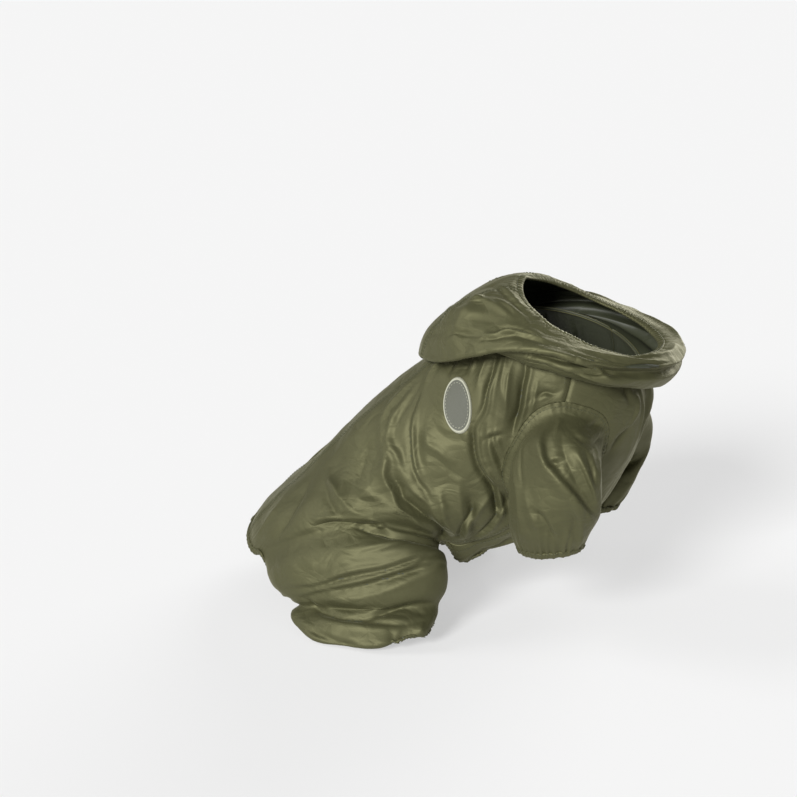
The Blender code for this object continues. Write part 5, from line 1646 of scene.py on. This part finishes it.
class RAINCOAT_OT_stage(bpy.types.Operator):
    """Sets up the floor, the lights and the camera"""

    bl_idname = "object.raincoat_stage"
    bl_label = "Stage"

    def execute(self, context):
        scene = context.scene
        colour = tuple(scene.raincoat_colours.floor)
        mesh = bpy.data.meshes.new("floor")
        sides = ((-1, -1), (1, -1), (1, 1), (-1, 1))
        corners = [(x * FLOOR_REACH, y * FLOOR_REACH, FLOOR_Z) for x, y in sides]
        mesh.from_pydata(corners, [], [(0, 1, 2, 3)])
        floor = bpy.data.objects.new("floor", mesh)
        scene.collection.objects.link(floor)
        made, shader = base_material("floor_paint", colour, 0.9)
        shader.inputs["Specular IOR Level"].default_value = 0.0
        shader.inputs["Emission Color"].default_value = (1, 1, 1, 1)
        shader.inputs["Emission Strength"].default_value = FLOOR_GLOW
        mesh.materials.append(made)
        world = bpy.data.worlds.new("studio")
        scene.world = world
        world.use_nodes = True
        tree = world.node_tree
        tree.nodes["Background"].inputs["Color"].default_value = (1, 1, 1, 1)
        tree.nodes["Background"].inputs["Strength"].default_value = WORLD_LIGHT
        wall = node(tree, "ShaderNodeBackground", Color=(1, 1, 1, 1), Strength=WALL_SEEN)
        seen = node(tree, "ShaderNodeLightPath")
        either = node(tree, "ShaderNodeMixShader")
        tree.links.new(seen.outputs["Is Camera Ray"], either.inputs[0])
        tree.links.new(tree.nodes["Background"].outputs[0], either.inputs[1])
        tree.links.new(wall.outputs[0], either.inputs[2])
        tree.links.new(either.outputs[0], tree.nodes["World Output"].inputs["Surface"])
        for name, azimuth, elevation, soft, power in LIGHTS:
            light = bpy.data.lights.new(name, "SUN")
            light.angle = math.radians(soft)
            light.energy = power
            lamp = bpy.data.objects.new(name, light)
            scene.collection.objects.link(lamp)
            a, e = math.radians(azimuth), math.radians(elevation)
            place = Vector((math.sin(a) * math.cos(e), -math.cos(a) * math.cos(e), math.sin(e)))
            lamp.location = place * 2
            lamp.rotation_euler = place.to_track_quat("Z", "Y").to_euler()
        scene.view_settings.view_transform = "Standard"
        camera = bpy.data.cameras.new("camera")
        camera.lens = CAMERA_LENS
        camera.sensor_width = 36.0
        camera.clip_end = 60.0
        eye = bpy.data.objects.new("camera", camera)
        scene.collection.objects.link(eye)
        turn = Matrix((CAMERA_RIGHT, CAMERA_UP, CAMERA_BACK)).transposed()
        eye.matrix_world = Matrix.Translation(CAMERA_PLACE) @ turn.to_4x4()
        scene.camera = eye
        return {"FINISHED"}


OPERATORS = (
    RAINCOAT_OT_body, RAINCOAT_OT_belly, RAINCOAT_OT_sleeves, RAINCOAT_OT_hood, RAINCOAT_OT_patch,
    RAINCOAT_OT_hems, RAINCOAT_OT_stitching, RAINCOAT_OT_sheets, RAINCOAT_OT_stage,
)


class RAINCOAT_PT_panel(bpy.types.Panel):
    """The raincoat's pieces, sizes and colours"""

    bl_label = "Dog Raincoat"
    bl_idname = "RAINCOAT_PT_panel"
    bl_space_type = "VIEW_3D"
    bl_region_type = "UI"
    bl_category = "Raincoat"

    def draw(self, context):
        for source in (context.scene.raincoat_sizes, context.scene.raincoat_colours):
            column = self.layout.column()
            for name in source.bl_rna.properties.keys():
                if name not in ("rna_type", "name"):
                    column.prop(source, name)
        for operator in OPERATORS:
            self.layout.operator(operator.bl_idname)


CLASSES = (RaincoatSizes, RaincoatColours, *OPERATORS, RAINCOAT_PT_panel)


def register():
    for made in CLASSES:
        bpy.utils.register_class(made)
    bpy.types.Scene.raincoat_sizes = bpy.props.PointerProperty(type=RaincoatSizes)
    bpy.types.Scene.raincoat_colours = bpy.props.PointerProperty(type=RaincoatColours)


def unregister():
    del bpy.types.Scene.raincoat_colours
    del bpy.types.Scene.raincoat_sizes
    for made in reversed(CLASSES):
        bpy.utils.unregister_class(made)


def main():
    register()
    bpy.ops.object.raincoat_body()
    bpy.ops.object.raincoat_belly()
    bpy.ops.object.raincoat_sleeves()
    bpy.ops.object.raincoat_hood()
    bpy.ops.object.raincoat_patch()
    bpy.ops.object.raincoat_hems()
    bpy.ops.object.raincoat_stitching()
    bpy.ops.object.raincoat_sheets()
    bpy.ops.object.raincoat_stage()


if __name__ == "__main__":
    main()
